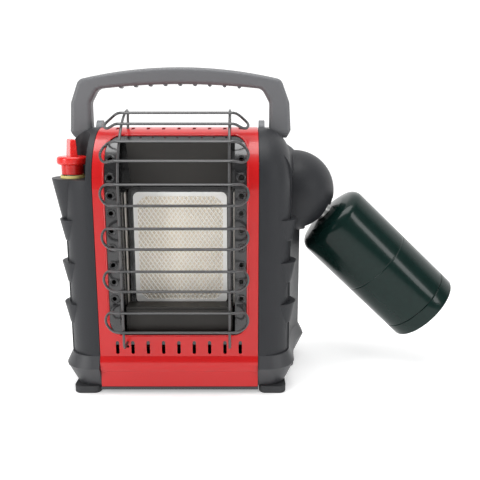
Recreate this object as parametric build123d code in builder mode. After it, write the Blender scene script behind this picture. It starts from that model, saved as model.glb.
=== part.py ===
from build123d import *
import math
import os

os.makedirs("parts", exist_ok=True)

# Portable propane heater. Millimetres, +Z up, the front faces -Y, +X is to the right seen from
# the front. The origin is on the ground, under the middle of the whole heater's outline with its
# guard and its slanting cylinder. The pieces are drawn about the middle of the body, and
# body_place sets them over that origin as they are finished.

# Driving dimensions: the body
body_place = (-97.36, 9.25, 0.0)   # middle of the body from the origin
face_y = -84.0            # flat of the front panel
back_y = 84.0             # flat of the rear cover
panel_half_width = 93.0   # seam between the panel and each side shell
shell_width = 38.0        # seam to the side of the shells just behind the front corner
shell_flare = 19.0        # how much further out the shells are at the back
flare_start_y = -60.0
flare_end_y = 30.0
crest_z = 311.0           # top of the panel's roll
roll_radius = 66.0        # roll from the flat front into the top
block_depth = 4.0         # front block's back behind the end of the roll
deck_z = 292.0            # lower top deck behind the roll
back_corner_radius = 40.0
deck_round = 34.0
shell_wall = 2.6
shell_flat = 4.0          # what the rounding of the shells' front corner and top leaves flat
seam_gap = 0.3
skirt_bottom_z = 9.0
skirt_wide_z = 34.0
skirt_top_z = 48.0
skirt_flare = 7.0         # how far the skirt stands out at its widest line
skirt_tuck = 5.0          # how far its bottom edge is drawn in
skirt_front_round = 28.0
base_floor = 2.5
base_pocket = 9.0         # skirt outline to the pocket behind it
sill_drop = 3.5
foot_width = 32.0
foot_depth = 38.0
foot_round = 8.0
foot_spread = 110.5       # middle of a foot from the middle of the body
foot_reach_y = 64.0
pad_count = 3
pad_top_z = 208.0
pad_pitch = 50.0
pad_height = 26.0
pad_radius = 22.5
pad_taper = 5.5
pad_inset = 15.2          # the pads are short drums around an axis this far inside the side
pad_y = -54.0

# Driving dimensions: sheet metal
panel_sheet = 1.2
sheet = 1.0
bead_depth = 3.5
bead_bottom_z = 28.0
panel_bottom_z = 9.5
crest_end_y = 2.0
opening_half = 80.5
opening_bottom_z = 73.0
opening_top_z = 304.0
opening_corner = 16.0
vent_count = 9
vent_pitch = 18.0
vent_width = 4.0
vent_bottom_z = 50.6
vent_top_z = 66.8
roll_vent_y = -28.0
roll_vent_length = 12.0
pan_half = 86.0
pan_bottom_z = 62.0
recess_clear = 4.0        # burner frame to the side of the recess
recess_bottom_z = 70.0
recess_top_z = 297.0
recess_back_y = -22.0
ring_count = 9
ring_pitch = 20.0
first_ring_z = 118.0
ring_radius = 4.5
ring_wire = 1.1
strip_hole_radius = 2.6

# Driving dimensions: burner
tile_width = 112.0
tile_height = 138.0
tile_thick = 12.0
tile_round = 7.0
tile_mid_z = 167.0
tile_front_y = -34.0
burner_rim = 6.0
burner_round = 8.0
gasket_rim = 5.0
gasket_chamfer = 9.0
gasket_thick = 1.0
mesh_wire = 0.9
mesh_pitch = 11.0
mesh_angle = 55.0
plenum_depth = 24.0
plenum_wall = 1.2
mixer_radius = 12.0
mixer_wall = 1.2
mixer_y = 18.0
injector_radius = 6.0
injector_bottom_z = 58.0
bracket_sheet = 2.0
shield_top_z = 104.0
shield_half = 62.5
shield_front_y = -70.0
shield_shelf = 22.0
hood_plate_top_y = -58.0
hood_plate_bottom_y = -34.0
hood_plate_gap = 7.0      # tile's top to the plate's lower edge
hood_plate_half = 58.0
strip_plate_width = 22.0
shield_y = 52.0
shield_plate_half = 78.0
shield_plate_top_z = 268.0

# Driving dimensions: rear cover
cover_sheet = 2.0
cover_round = 38.0
louvre_count = 11
louvre_pitch = 14.0
louvre_first_z = 84.0
louvre_length = 120.0
louvre_width = 5.0
screw_head_radius = 4.0
screw_head_thick = 2.0
screw_shank_radius = 1.75
screw_length = 9.0
boss_radius = 5.0

# Driving dimensions: handle
handle_y = -2.0
handle_depth = 20.0
pivot_z = 308.0
leg_reach = 2.0           # outer side of the legs outside the shells' front side
leg_width = 26.0
leg_shoulder_z = 340.0
grip_top_z = 381.0
grip_corner_z = 367.0
grip_corner_in = 12.0     # outer side of the legs to the corner over them
grip_under_z = 361.5
grip_under_corner_z = 356.0
grip_under_corner_in = 9.0
handle_edge_round = 5.0
rib_count = 9
rib_pitch = 17.7
rib_radius = 2.2
pin_radius = 3.0
pin_reach = 18.0
turning_fit = 0.05
ear_thick = 7.0
ear_radius = 11.0

# Driving dimensions: guard
wire_radius = 1.5
guard_standoff = 24.0
loop_count = 6
loop_pitch = 48.2
first_loop_z = 97.5
loop_height = 23.0
loop_front_half = 66.0
loop_half = 81.0
loop_return = 12.0
loop_bend = 9.0
upright_x = 60.0
upright_foot_z = 60.0
upright_bend = 6.0
upright_sweep = 78.0      # degrees of the roll that the uprights follow

# Driving dimensions: knob and gas valve
knob_inset = 9.0          # stem axis inside the shells' front side
knob_y = -50.0
ledge_z = 255.0
knob_radius = 17.2
knob_neck_radius = 12.5
knob_bottom_z = 259.2
knob_flange_z = 270.0
knob_blade_z = 279.5
knob_top_z = 299.0
blade_length = 26.0
blade_width = 9.0
blade_turn = 25.0         # the blade's turn from straight ahead, at rest
knob_travel = 3.0
stem_radius = 3.0
stem_top_z = 284.0
pocket_radius = 22.0
bulge_top_radius = 24.0
bulge_bottom_radius = 9.0
bulge_bottom_z = 178.0
label_wall = 1.2
label_height = 3.0
valve_width = 28.0
valve_depth = 20.0
valve_height = 42.0
valve_edge = 5.0          # stem axis to the valve's outer side
valve_top_z = 244.0
valve_neck_radius = 9.0
stem_bore_depth = 16.0
spring_wire = 0.8
spring_radius = 6.6
spring_turns = 4
spring_top_z = 267.0
igniter_radius = 6.0
igniter_height = 34.0

# Driving dimensions: regulator hood, regulator and cylinder
hood_reach = 10.0         # sphere's middle outside the shells' front side
hood_y = 33.0
hood_z = 229.0
hood_radius = 52.0
swivel_out = 4.6          # swivel pin from the middle of the hood
swivel_up = 5.0
hang_angle = 43.5         # cylinder axis below the horizontal
neck_slot_half = 27.0
neck_slot_down = 36.0     # degrees either side of the hanging axis
neck_slot_up = 16.0
nut_slot_half = 16.5
nut_slot_up = 27.0
cylinder_radius = 49.5
cylinder_wall = 1.0
cylinder_shoulder = 58.0  # these are distances along the hanging axis from the swivel
cylinder_crown = 50.5
shoulder_round = 12.0
cylinder_neck = 38.0
cylinder_end = 238.0
foot_ring_depth = 19.0
foot_ring_wall = 1.6
neck_radius = 12.7
thread_gap = 0.3
nut_wall = 1.8
nut_start = 35.0
nut_end = 45.0
regulator_radius = 20.0
regulator_back = -15.0
regulator_front = 22.0
cap_radius = 21.0
cap_base = 12.0
cap_height = 17.0
swivel_pin_radius = 4.0
arm_gap = 2.0
arm_width = 22.0
bracket_inset = 27.0
elbow_size = 12.0

# Driving dimensions: gas lines, wires and the tip switch
supply_radius = 4.0
burner_pipe_radius = 3.0
pilot_tube_radius = 1.5
lead_radius = 1.2
supply_rise = 30.0
burner_run_z = 42.0
pilot_run_z = 54.0
sensor_run_z = 48.0
spark_run_z = 60.0
pilot_x = -10.0
sensor_x = 14.0
spark_x = 4.0
pilot_y = -54.0
flame_z = 96.0
switch_x = 50.0
switch_y = 30.0
switch_width = 34.0
switch_depth = 24.0
switch_height = 46.0
switch_wall = 2.0
bob_radius = 7.0
bob_drop = 26.0

# Places worked out from the driving dimensions
shell_half_front = panel_half_width + shell_width
shell_half_back = shell_half_front + shell_flare
shell_round = shell_width - shell_flat
recess_half = tile_width / 2 + burner_rim + recess_clear
knob_x = knob_inset - shell_half_front
pad_x = shell_half_front - pad_inset
bracket_x = shell_half_front - bracket_inset
leg_outer = shell_half_front + leg_reach
leg_inner = leg_outer - leg_width
grip_corner_x = leg_outer - grip_corner_in
grip_under_corner_x = leg_inner - grip_under_corner_in
hood_center = (shell_half_front + hood_reach, hood_y, hood_z)
swivel = (hood_center[0] + swivel_out, hood_y, hood_z + swivel_up)
supply_height_z = swivel[2] + supply_rise
mixer_bottom_z = tile_mid_z - tile_height / 2 - burner_rim
hood_plate_bottom_z = tile_mid_z + tile_height / 2 + hood_plate_gap
roll_y = face_y + roll_radius
front_block_back_y = roll_y + block_depth
roll_z = crest_z - roll_radius
opening_mid_z = (opening_bottom_z + opening_top_z) / 2
valve_bottom_z = valve_top_z - valve_height
valve_x = knob_x - valve_edge + valve_width / 2
base_top_floor_z = skirt_bottom_z + base_floor
guard_radius = roll_radius + guard_standoff
tilt = math.radians(hang_angle)
hang_axis = Vector(math.cos(tilt), 0, -math.sin(tilt))
hang_normal = Vector(math.sin(tilt), 0, math.cos(tilt))
hang_plane = Plane(origin=swivel, x_dir=hang_normal, z_dir=hang_normal.cross(hang_axis))
hang_line = Axis(swivel, hang_axis)
sides = (-1, 1)


def finish(block, name):
    """Set a finished sub-part over the origin, label it and write its STEP file."""
    placed = block.part.moved(Location(body_place))
    placed.label = name
    export_step(placed, f"parts/{name}.step")


def skin_point(height, inset):
    """Y and backward lean, in degrees, of the rolled front skin at a height."""
    radius = roll_radius - inset
    if height <= roll_z:
        return face_y + inset, 0.0
    lean = math.asin((height - roll_z) / radius)
    return roll_y - radius * math.cos(lean), math.degrees(lean)


def rolled_fill(low_z, rear_y, left_x, right_x, inset):
    """Solid under the rolled front skin, from a bottom edge to a rear plane."""
    with BuildPart() as fill:
        with BuildSketch(Plane.YZ.offset(left_x)):
            with BuildLine():
                front = Line((face_y + inset, low_z), (face_y + inset, roll_z))
                roll = CenterArc((roll_y, roll_z), roll_radius - inset, 180, -90)
                Polyline(roll @ 1, (rear_y, crest_z - inset), (rear_y, low_z), front @ 0)
            make_face()
        extrude(amount=right_x - left_x)
    return fill.part


def tube_along(points, radius, bends):
    """Round rod through points in space, with an arc at each corner."""
    with BuildPart() as tube:
        with BuildLine() as route:
            FilletPolyline(*points, radius=bends)
        with BuildSketch(Plane(origin=route.line @ 0, z_dir=route.line % 0)):
            Circle(radius)
        sweep(path=route.line)
    return tube


# Side shells: a front block with the panel's roll, and a lower rear block that flares out


def front_block(inset):
    """Filled front block of the right shell, set in by a wall."""
    inner_x = panel_half_width + seam_gap if inset == 0 else panel_half_width - shell_wall
    low_z = skirt_top_z if inset == 0 else skirt_top_z - shell_wall
    rear_y = front_block_back_y - inset
    block = rolled_fill(low_z, rear_y, inner_x, shell_half_front - inset, inset)
    with BuildPart() as rounded:
        add(block)
        outer = rounded.faces().sort_by(Axis.X)[-1].edges()
        rim = [edge for edge in outer if edge.center().Z > low_z + 1 and edge.center().Y < rear_y - 1]
        fillet(rim, shell_round - inset)
    return rounded.part


def rear_block(inset):
    """Filled rear block of the right shell, set in by a wall."""
    inner_x = panel_half_width + seam_gap if inset == 0 else panel_half_width - shell_wall
    low_z = skirt_top_z if inset == 0 else skirt_top_z - shell_wall
    flare_length = flare_end_y - flare_start_y
    flare_step = shell_half_back - shell_half_front
    flare_radius = (flare_step**2 + flare_length**2) / (2 * flare_step)
    corner_y = back_y - back_corner_radius
    with BuildPart() as block:
        with BuildSketch(Plane.XY.offset(low_z)):
            with BuildLine():
                first = Line((inner_x, flare_start_y), (shell_half_front - inset, flare_start_y))
                wall = RadiusArc(first @ 1, (shell_half_back - inset, flare_end_y), flare_radius)
                Line(wall @ 1, (shell_half_back - inset, corner_y))
                middle = (shell_half_back - back_corner_radius, corner_y)
                corner = CenterArc(middle, back_corner_radius - inset, 0, 90)
                Polyline(corner @ 1, (inner_x, back_y - inset), first @ 0)
            make_face()
        extrude(amount=deck_z - inset - low_z)
        top = block.faces().sort_by(Axis.Z)[-1].edges()
        rim = [edge for edge in top if edge.center().X > inner_x + 1 and edge.center().Y > flare_start_y + 1]
        fillet(rim, deck_round - inset)
    return block.part


def corner_pad(top_z):
    """Shingle pad that stands out of the front corner, with a sharp ledge at its top."""
    with BuildPart() as pad:
        with BuildSketch(Plane.XZ.offset(-pad_y)):
            with BuildLine():
                Polyline((pad_x, top_z), (pad_x + pad_radius, top_z),
                         (pad_x + pad_radius - pad_taper, top_z - pad_height),
                         (pad_x, top_z - pad_height), (pad_x, top_z))
            make_face()
        revolve(axis=Axis((pad_x, pad_y, 0), (0, 0, 1)))
        fillet(pad.edges().filter_by(GeomType.CIRCLE).group_by(Axis.Z)[0], pad_taper / 2)
    return pad.part


outer_front = front_block(0)
inner_front = front_block(shell_wall)
outer_rear = rear_block(0)
inner_rear = rear_block(shell_wall)
pads = [corner_pad(pad_top_z - pad_pitch * i) for i in range(pad_count)]

with BuildPart() as right_shell:
    add(outer_front)
    add(outer_rear)
    for pad in pads:
        add(pad)
    with Locations(hood_center):
        Sphere(hood_radius)
    add(inner_front, mode=Mode.SUBTRACT)
    add(inner_rear, mode=Mode.SUBTRACT)
    with Locations(hood_center):
        Sphere(hood_radius - shell_wall, mode=Mode.SUBTRACT)
    reach = 2 * hood_radius
    for low, high, half in ((-neck_slot_down, neck_slot_up, neck_slot_half),
                            (0, nut_slot_up, nut_slot_half)):
        with BuildSketch(hang_plane):
            with BuildLine():
                low_turn = math.radians(low)
                high_turn = math.radians(high)
                Polyline((0, 0), (reach * math.sin(low_turn), reach * math.cos(low_turn)),
                         (reach * math.sin(high_turn), reach * math.cos(high_turn)), (0, 0))
            make_face()
        extrude(amount=half, both=True, mode=Mode.SUBTRACT)
    split(bisect_by=Plane.YZ.offset(panel_half_width + seam_gap), keep=Keep.TOP)
finish(right_shell, "right_shell")

# The left shell has a ledge and a pocket for the knob, with a swelling under the ledge
pocket_back_y = knob_y + pocket_radius


def pocket_fill(wall, low_z):
    """Space of the knob's pocket, open to the front and to the left, grown by a wall."""
    with BuildPart() as fill:
        with BuildSketch(Plane.XY.offset(low_z)):
            with Locations((knob_x, knob_y)):
                Circle(pocket_radius + wall)
            with Locations((knob_x, face_y - skirt_flare)):
                Rectangle(shell_half_back + knob_x, pocket_back_y + wall - face_y + skirt_flare,
                          align=(Align.MAX, Align.MIN))
                Rectangle(pocket_radius + wall, knob_y - face_y + skirt_flare,
                          align=(Align.MIN, Align.MIN))
        extrude(amount=crest_z - low_z + 1)
    return fill.part


def ledge_bulge(inset):
    """Swelling under the knob's ledge, set in by a wall."""
    with BuildPart() as bulge:
        with Locations((knob_x, knob_y, bulge_bottom_z)):
            Cone(bulge_bottom_radius - inset, bulge_top_radius - inset, ledge_z - bulge_bottom_z,
                 align=(Align.CENTER, Align.CENTER, Align.MIN))
    return bulge.part


with BuildPart() as left_outer:
    add(outer_front)
    add(outer_rear)
    for pad in pads:
        add(pad)
    mirror(about=Plane.YZ, mode=Mode.REPLACE)
    add(ledge_bulge(0))
    add(pocket_fill(0, ledge_z), mode=Mode.SUBTRACT)

with BuildPart() as left_inner:
    add(inner_front)
    add(inner_rear)
    mirror(about=Plane.YZ, mode=Mode.REPLACE)
    add(ledge_bulge(shell_wall))
    add(pocket_fill(shell_wall, ledge_z - shell_wall), mode=Mode.SUBTRACT)

with BuildPart() as left_shell:
    add(left_outer.part)
    add(left_inner.part, mode=Mode.SUBTRACT)
    with Locations((knob_x, knob_y, ledge_z)):
        Hole(valve_neck_radius + seam_gap, depth=2 * shell_wall)
    split(bisect_by=Plane.YZ.offset(-panel_half_width - seam_gap), keep=Keep.BOTTOM)
finish(left_shell, "left_shell")

# Base: a skirt that flares out, drawn in again at the bottom, with a pocket behind it


def plan_outline(grow):
    """Half of the body's outline seen from above, grown outwards, and its mirror image."""
    front_x = shell_half_front - skirt_front_round
    front_y = face_y + skirt_front_round
    flare_length = flare_end_y - front_y
    flare_step = shell_half_back - shell_half_front
    flare_radius = (flare_step**2 + flare_length**2) / (2 * flare_step)
    corner_y = back_y - back_corner_radius
    corner_x = shell_half_back - back_corner_radius
    with BuildSketch() as outline:
        with BuildLine():
            front = Line((0, face_y - grow), (front_x, face_y - grow))
            nose = CenterArc((front_x, front_y), skirt_front_round + grow, -90, 90)
            wall = RadiusArc(nose @ 1, (shell_half_back + grow, flare_end_y), flare_radius)
            side = Line(wall @ 1, (shell_half_back + grow, corner_y))
            CenterArc((corner_x, corner_y), back_corner_radius + grow, 0, 90)
            Polyline((corner_x, back_y + grow), (0, back_y + grow), front @ 0)
        make_face()
        mirror(about=Plane.YZ)
    return outline.sketch


with BuildPart() as base:
    for low_z, low_grow, high_z, high_grow in (
            (skirt_bottom_z, -skirt_tuck, skirt_wide_z, skirt_flare),
            (skirt_wide_z, skirt_flare, skirt_top_z, 0)):
        with BuildSketch(Plane.XY.offset(low_z)):
            add(plan_outline(low_grow))
        with BuildSketch(Plane.XY.offset(high_z)):
            add(plan_outline(high_grow))
        loft(ruled=True)
    with BuildSketch(Plane.XY.offset(base_top_floor_z)):
        add(plan_outline(-base_pocket))
    extrude(amount=skirt_top_z, mode=Mode.SUBTRACT)
    # the front is left open for the panel, over a sill
    sill_y = face_y + panel_sheet + seam_gap
    with BuildSketch(Plane.XY.offset(skirt_bottom_z)):
        with Locations((0, sill_y)):
            Rectangle(2 * (panel_half_width + seam_gap), base_pocket + skirt_flare + foot_depth,
                      align=(Align.CENTER, Align.MAX))
    extrude(amount=skirt_top_z, mode=Mode.SUBTRACT)
    with BuildSketch(Plane.XY.offset(skirt_bottom_z - sill_drop)):
        with Locations((0, face_y)):
            Rectangle(2 * (panel_half_width + seam_gap), foot_depth, align=(Align.CENTER, Align.MIN))
    extrude(amount=sill_drop)
    with Locations(*[(side * foot_spread, end * foot_reach_y, skirt_bottom_z)
                     for side in sides for end in sides]):
        Hole(screw_shank_radius + turning_fit, depth=skirt_top_z)
finish(base, "base")

with BuildPart() as feet:
    with BuildSketch():
        with Locations(*[(side * foot_spread, end * foot_reach_y) for side in sides for end in sides]):
            RectangleRounded(foot_width, foot_depth, foot_round)
    extrude(amount=skirt_bottom_z)
    chamfer(feet.edges().group_by(Axis.Z)[0], 1)
    with Locations(*[(side * foot_spread, end * foot_reach_y, 0) for side in sides for end in sides]):
        Cylinder(screw_shank_radius, skirt_bottom_z + base_floor,
                 align=(Align.CENTER, Align.CENTER, Align.MIN))
finish(feet, "feet")

# Where the guard's uprights come down into the crest of the panel
sweep_turn = math.radians(upright_sweep)
upright_radius = roll_radius + guard_standoff - 2 * wire_radius
upright_top_y = (roll_y - upright_radius * math.cos(sweep_turn)
                 + upright_bend * (1 + math.cos(sweep_turn)))

# Front panel: one sheet with a bead and an apron at the bottom and a flange behind the crest
with BuildPart() as front_panel:
    with BuildSketch(Plane.YZ.offset(-panel_half_width + seam_gap)):
        with BuildLine():
            apron = Line((face_y, panel_bottom_z), (face_y, bead_bottom_z))
            bead = ThreePointArc(apron @ 1, (face_y - bead_depth, (bead_bottom_z + skirt_top_z) / 2),
                                 (face_y, skirt_top_z))
            Line(bead @ 1, (face_y, roll_z))
            roll = CenterArc((roll_y, roll_z), roll_radius, 180, -90)
            crest = Line(roll @ 1, (crest_end_y, crest_z))
            flange = Line(crest @ 1, (crest_end_y, deck_z))
            flange_in = Line(flange @ 1, (crest_end_y - panel_sheet, deck_z))
            Polyline(flange_in @ 1, (crest_end_y - panel_sheet, crest_z - panel_sheet),
                     (roll_y, crest_z - panel_sheet))
            roll_in = CenterArc((roll_y, roll_z), roll_radius - panel_sheet, 90, 90)
            flat_in = Line(roll_in @ 1, (face_y + panel_sheet, skirt_top_z))
            bead_in = ThreePointArc(flat_in @ 1, (face_y - bead_depth + panel_sheet,
                                                  (bead_bottom_z + skirt_top_z) / 2),
                                    (face_y + panel_sheet, bead_bottom_z))
            Polyline(bead_in @ 1, (face_y + panel_sheet, panel_bottom_z), apron @ 0)
        make_face()
    extrude(amount=2 * (panel_half_width - seam_gap))
    with BuildSketch(Plane.XZ.offset(-roll_y)):
        with Locations((0, opening_mid_z)):
            RectangleRounded(2 * opening_half, opening_top_z - opening_bottom_z, opening_corner)
        with Locations((0, (vent_bottom_z + vent_top_z) / 2)):
            with GridLocations(vent_pitch, 1, vent_count, 1):
                SlotOverall(vent_top_z - vent_bottom_z, vent_width, rotation=90)
        with Locations(*[(side * upright_x, upright_foot_z) for side in sides]):
            Circle(wire_radius + seam_gap)
    extrude(amount=roll_radius + bead_depth + 1, mode=Mode.SUBTRACT)
    with BuildSketch(Plane.XY.offset(crest_z + 1)):
        with Locations((0, roll_vent_y)):
            with GridLocations(vent_pitch, 1, vent_count, 1):
                SlotOverall(roll_vent_length, vent_width, rotation=90)
        with Locations(*[(side * upright_x, upright_top_y) for side in sides]):
            Circle(wire_radius + seam_gap)
    extrude(amount=-(crest_z - opening_top_z), mode=Mode.SUBTRACT)
finish(front_panel, "front_panel")

# Reflector: an enamelled pan against the back of the panel, with a deep box around the burner
pan_rear_y = roll_y + sheet
recess_mid_z = (recess_bottom_z + recess_top_z) / 2
recess_height = recess_top_z - recess_bottom_z

with BuildPart() as recess_box:
    with BuildSketch(Plane.XZ.offset(-recess_back_y - sheet)):
        with Locations((0, recess_mid_z)):
            Rectangle(2 * (recess_half + sheet), recess_height + 2 * sheet)
    extrude(amount=roll_radius + sheet)
    add(rolled_fill(0, pan_rear_y, -pan_half, pan_half, panel_sheet), mode=Mode.INTERSECT)

with BuildPart() as reflector:
    add(rolled_fill(pan_bottom_z, pan_rear_y, -pan_half, pan_half, panel_sheet))
    add(rolled_fill(0, pan_rear_y + sheet, -pan_half - sheet, pan_half + sheet, panel_sheet + sheet),
        mode=Mode.SUBTRACT)
    add(recess_box.part)
    with BuildSketch(Plane.XZ.offset(-recess_back_y)):
        with Locations((0, recess_mid_z)):
            Rectangle(2 * recess_half, recess_height)
    extrude(amount=2 * roll_radius, mode=Mode.SUBTRACT)
    with BuildSketch(Plane.XZ.offset(-recess_back_y - 2 * sheet)):
        with Locations((0, tile_mid_z)):
            RectangleRounded(tile_width + 2 * burner_rim + seam_gap, tile_height + 2 * burner_rim + seam_gap,
                             burner_round)
    extrude(amount=4 * sheet, mode=Mode.SUBTRACT)
    # punched holes and raised rings in the strips beside the box
    strip_x = (opening_half + recess_half) / 2
    for index in range(ring_count):
        ring_y, lean = skin_point(first_ring_z + ring_pitch * index, panel_sheet)
        for side in sides:
            with Locations(Location((side * strip_x, ring_y, first_ring_z + ring_pitch * index),
                                    (90 - lean, 0, 0))):
                Cylinder(strip_hole_radius, 4 * sheet, mode=Mode.SUBTRACT)
                Torus(ring_radius, ring_wire)
    vent_y, vent_lean = skin_point(recess_top_z + sheet + strip_hole_radius, panel_sheet)
    for index in range(vent_count):
        vent_x = (index - (vent_count - 1) / 2) * (2 * recess_half - ring_pitch) / (vent_count - 1)
        with Locations(Location((vent_x, vent_y, recess_top_z + sheet + strip_hole_radius),
                                (90 - vent_lean, 0, 0))):
            Cylinder(strip_hole_radius / 2, 6 * sheet, mode=Mode.SUBTRACT)
    # slots for the pilot, the sensor and the spark electrode
    with Locations((sensor_x / 2 + pilot_x / 2, pilot_y, recess_bottom_z)):
        Box(sensor_x - pilot_x + 4 * burner_pipe_radius, 4 * burner_pipe_radius, 4 * sheet,
            mode=Mode.SUBTRACT)
finish(reflector, "reflector")

# Sloped plate over the burner, hung from the top wall of the reflector's box
with BuildPart() as deflector_hood:
    with BuildSketch(Plane.YZ.offset(-hood_plate_half)):
        with BuildLine():
            Polyline((hood_plate_top_y, recess_top_z), (hood_plate_top_y, recess_top_z - sheet),
                     (hood_plate_bottom_y, hood_plate_bottom_z), (recess_back_y, hood_plate_bottom_z),
                     (recess_back_y, hood_plate_bottom_z + sheet),
                     (hood_plate_bottom_y + sheet, hood_plate_bottom_z + sheet),
                     (hood_plate_top_y + sheet, recess_top_z), (hood_plate_top_y, recess_top_z))
        make_face()
    extrude(amount=2 * hood_plate_half)
finish(deflector_hood, "deflector_hood")

# Radiant burner: frame, gasket, ceramic tile, mesh and the gas box behind them
with BuildPart() as burner_frame:
    with BuildSketch(Plane.XZ.offset(-recess_back_y)):
        with Locations((0, tile_mid_z)):
            RectangleRounded(tile_width + 2 * burner_rim, tile_height + 2 * burner_rim, burner_round)
            RectangleRounded(tile_width, tile_height, tile_round, mode=Mode.SUBTRACT)
    extrude(amount=recess_back_y - tile_front_y + 2 * gasket_thick)
finish(burner_frame, "burner_frame")

with BuildPart() as ceramic_tile:
    with BuildSketch(Plane.XZ.offset(-tile_front_y)):
        with Locations((0, tile_mid_z)):
            RectangleRounded(tile_width, tile_height, tile_round)
    extrude(amount=-tile_thick)
finish(ceramic_tile, "ceramic_tile")

gasket_y = tile_front_y - mesh_wire

with BuildPart() as burner_gasket:
    with BuildSketch(Plane.XZ.offset(-gasket_y)):
        with Locations((0, tile_mid_z)):
            RectangleRounded(tile_width, tile_height, tile_round)
    extrude(amount=gasket_thick)
    with BuildSketch(Plane.XZ.offset(-gasket_y)) as window:
        with Locations((0, tile_mid_z)):
            Rectangle(tile_width - 2 * gasket_rim, tile_height - 2 * gasket_rim)
        chamfer(window.vertices(), gasket_chamfer)
    extrude(amount=gasket_thick, mode=Mode.SUBTRACT)
finish(burner_gasket, "burner_gasket")

with BuildPart() as burner_mesh:
    bar_length = tile_width + tile_height
    bar_count = math.ceil(bar_length / mesh_pitch)
    with BuildSketch(Plane.XZ.offset(-tile_front_y)):
        with Locations((0, tile_mid_z)):
            for side in sides:
                turn = math.radians(side * mesh_angle)
                for index in range(bar_count):
                    shift = (index - (bar_count - 1) / 2) * mesh_pitch
                    with Locations((-shift * math.sin(turn), shift * math.cos(turn))):
                        Rectangle(bar_length, mesh_wire, rotation=side * mesh_angle)
            RectangleRounded(tile_width, tile_height, tile_round, mode=Mode.INTERSECT)
    extrude(amount=mesh_wire)
    with BuildSketch(Plane.XZ.offset(-tile_front_y)):
        with Locations((0, tile_mid_z)):
            RectangleRounded(tile_width, tile_height, tile_round)
            RectangleRounded(tile_width - gasket_rim, tile_height - gasket_rim,
                             tile_round - gasket_rim / 2, mode=Mode.SUBTRACT)
    extrude(amount=mesh_wire)
finish(burner_mesh, "burner_mesh")

with BuildPart() as burner_plenum:
    plenum_width = tile_width + 2 * burner_rim
    plenum_height = tile_height + 2 * burner_rim
    with BuildSketch(Plane.XZ.offset(-recess_back_y)):
        with Locations((0, tile_mid_z)):
            RectangleRounded(plenum_width, plenum_height, burner_round)
    extrude(amount=-plenum_depth)
    fillet(burner_plenum.faces().sort_by(Axis.Y)[-1].edges(), 2 * plenum_wall)
    with BuildSketch(Plane.XZ.offset(-recess_back_y)):
        with Locations((0, tile_mid_z)):
            RectangleRounded(plenum_width - 2 * plenum_wall, plenum_height - 2 * plenum_wall,
                             burner_round - plenum_wall)
    extrude(amount=-(plenum_depth - plenum_wall), mode=Mode.SUBTRACT)
    mixer_top_z = tile_mid_z + tile_height / 4
    with BuildSketch(Plane.XZ.offset(-recess_back_y - plenum_depth)):
        with Locations((0, mixer_top_z)):
            Circle(mixer_radius - mixer_wall)
    extrude(amount=2 * plenum_wall, both=True, mode=Mode.SUBTRACT)
finish(burner_plenum, "burner_plenum")

# Mixer tube: gas and air come up it from the injector into the gas box
plenum_back_y = recess_back_y + plenum_depth
with BuildPart() as mixer_tube:
    with BuildLine(Plane.YZ) as mixer_route:
        FilletPolyline((plenum_back_y, mixer_top_z), (mixer_y + plenum_back_y, mixer_top_z),
                       (mixer_y + plenum_back_y, mixer_bottom_z), radius=mixer_y - plenum_wall)
    with BuildSketch(Plane(origin=mixer_route.line @ 0, z_dir=mixer_route.line % 0)):
        Circle(mixer_radius)
        Circle(mixer_radius - mixer_wall, mode=Mode.SUBTRACT)
    sweep(path=mixer_route.line)
finish(mixer_tube, "mixer_tube")
injector_y = mixer_y + plenum_back_y

with BuildPart() as injector:
    with BuildSketch(Plane.XY.offset(injector_bottom_z)):
        with Locations((0, injector_y)):
            RegularPolygon(injector_radius, 6)
    extrude(amount=mixer_bottom_z - injector_bottom_z - mixer_radius)
    with Locations((0, injector_y, mixer_bottom_z - mixer_radius)):
        Cone(injector_radius * 0.8, injector_radius * 0.4, mixer_radius * 0.8,
             align=(Align.CENTER, Align.CENTER, Align.MIN))
finish(injector, "injector")

with BuildPart() as injector_bracket:
    with BuildSketch(Plane.XY.offset(injector_bottom_z)):
        with Locations((0, injector_y)):
            RectangleRounded(6 * injector_radius, 4 * injector_radius, injector_radius)
            Circle(burner_pipe_radius + seam_gap, mode=Mode.SUBTRACT)
    extrude(amount=-bracket_sheet)
    leg_height = injector_bottom_z - base_top_floor_z
    for side in sides:
        with BuildSketch(Plane.XY.offset(base_top_floor_z)):
            with Locations((0, injector_y + side * (2 * injector_radius - bracket_sheet / 2))):
                Rectangle(4 * injector_radius, bracket_sheet)
        extrude(amount=leg_height - bracket_sheet)
finish(injector_bracket, "injector_bracket")

# Plates in the reflector's box: pale strips beside the burner and the dark plate below it
with BuildPart() as side_reflectors:
    strip_front_y = recess_back_y - strip_plate_width
    for side in sides:
        with BuildSketch(Plane.XY.offset(tile_mid_z - tile_height / 2)):
            Polygon((side * recess_half, recess_back_y), (side * (recess_half - sheet), recess_back_y),
                    (side * (recess_half - 2 * sheet), strip_front_y),
                    (side * (recess_half - sheet), strip_front_y), align=None)
        extrude(amount=tile_height)
finish(side_reflectors, "side_reflectors")

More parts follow.
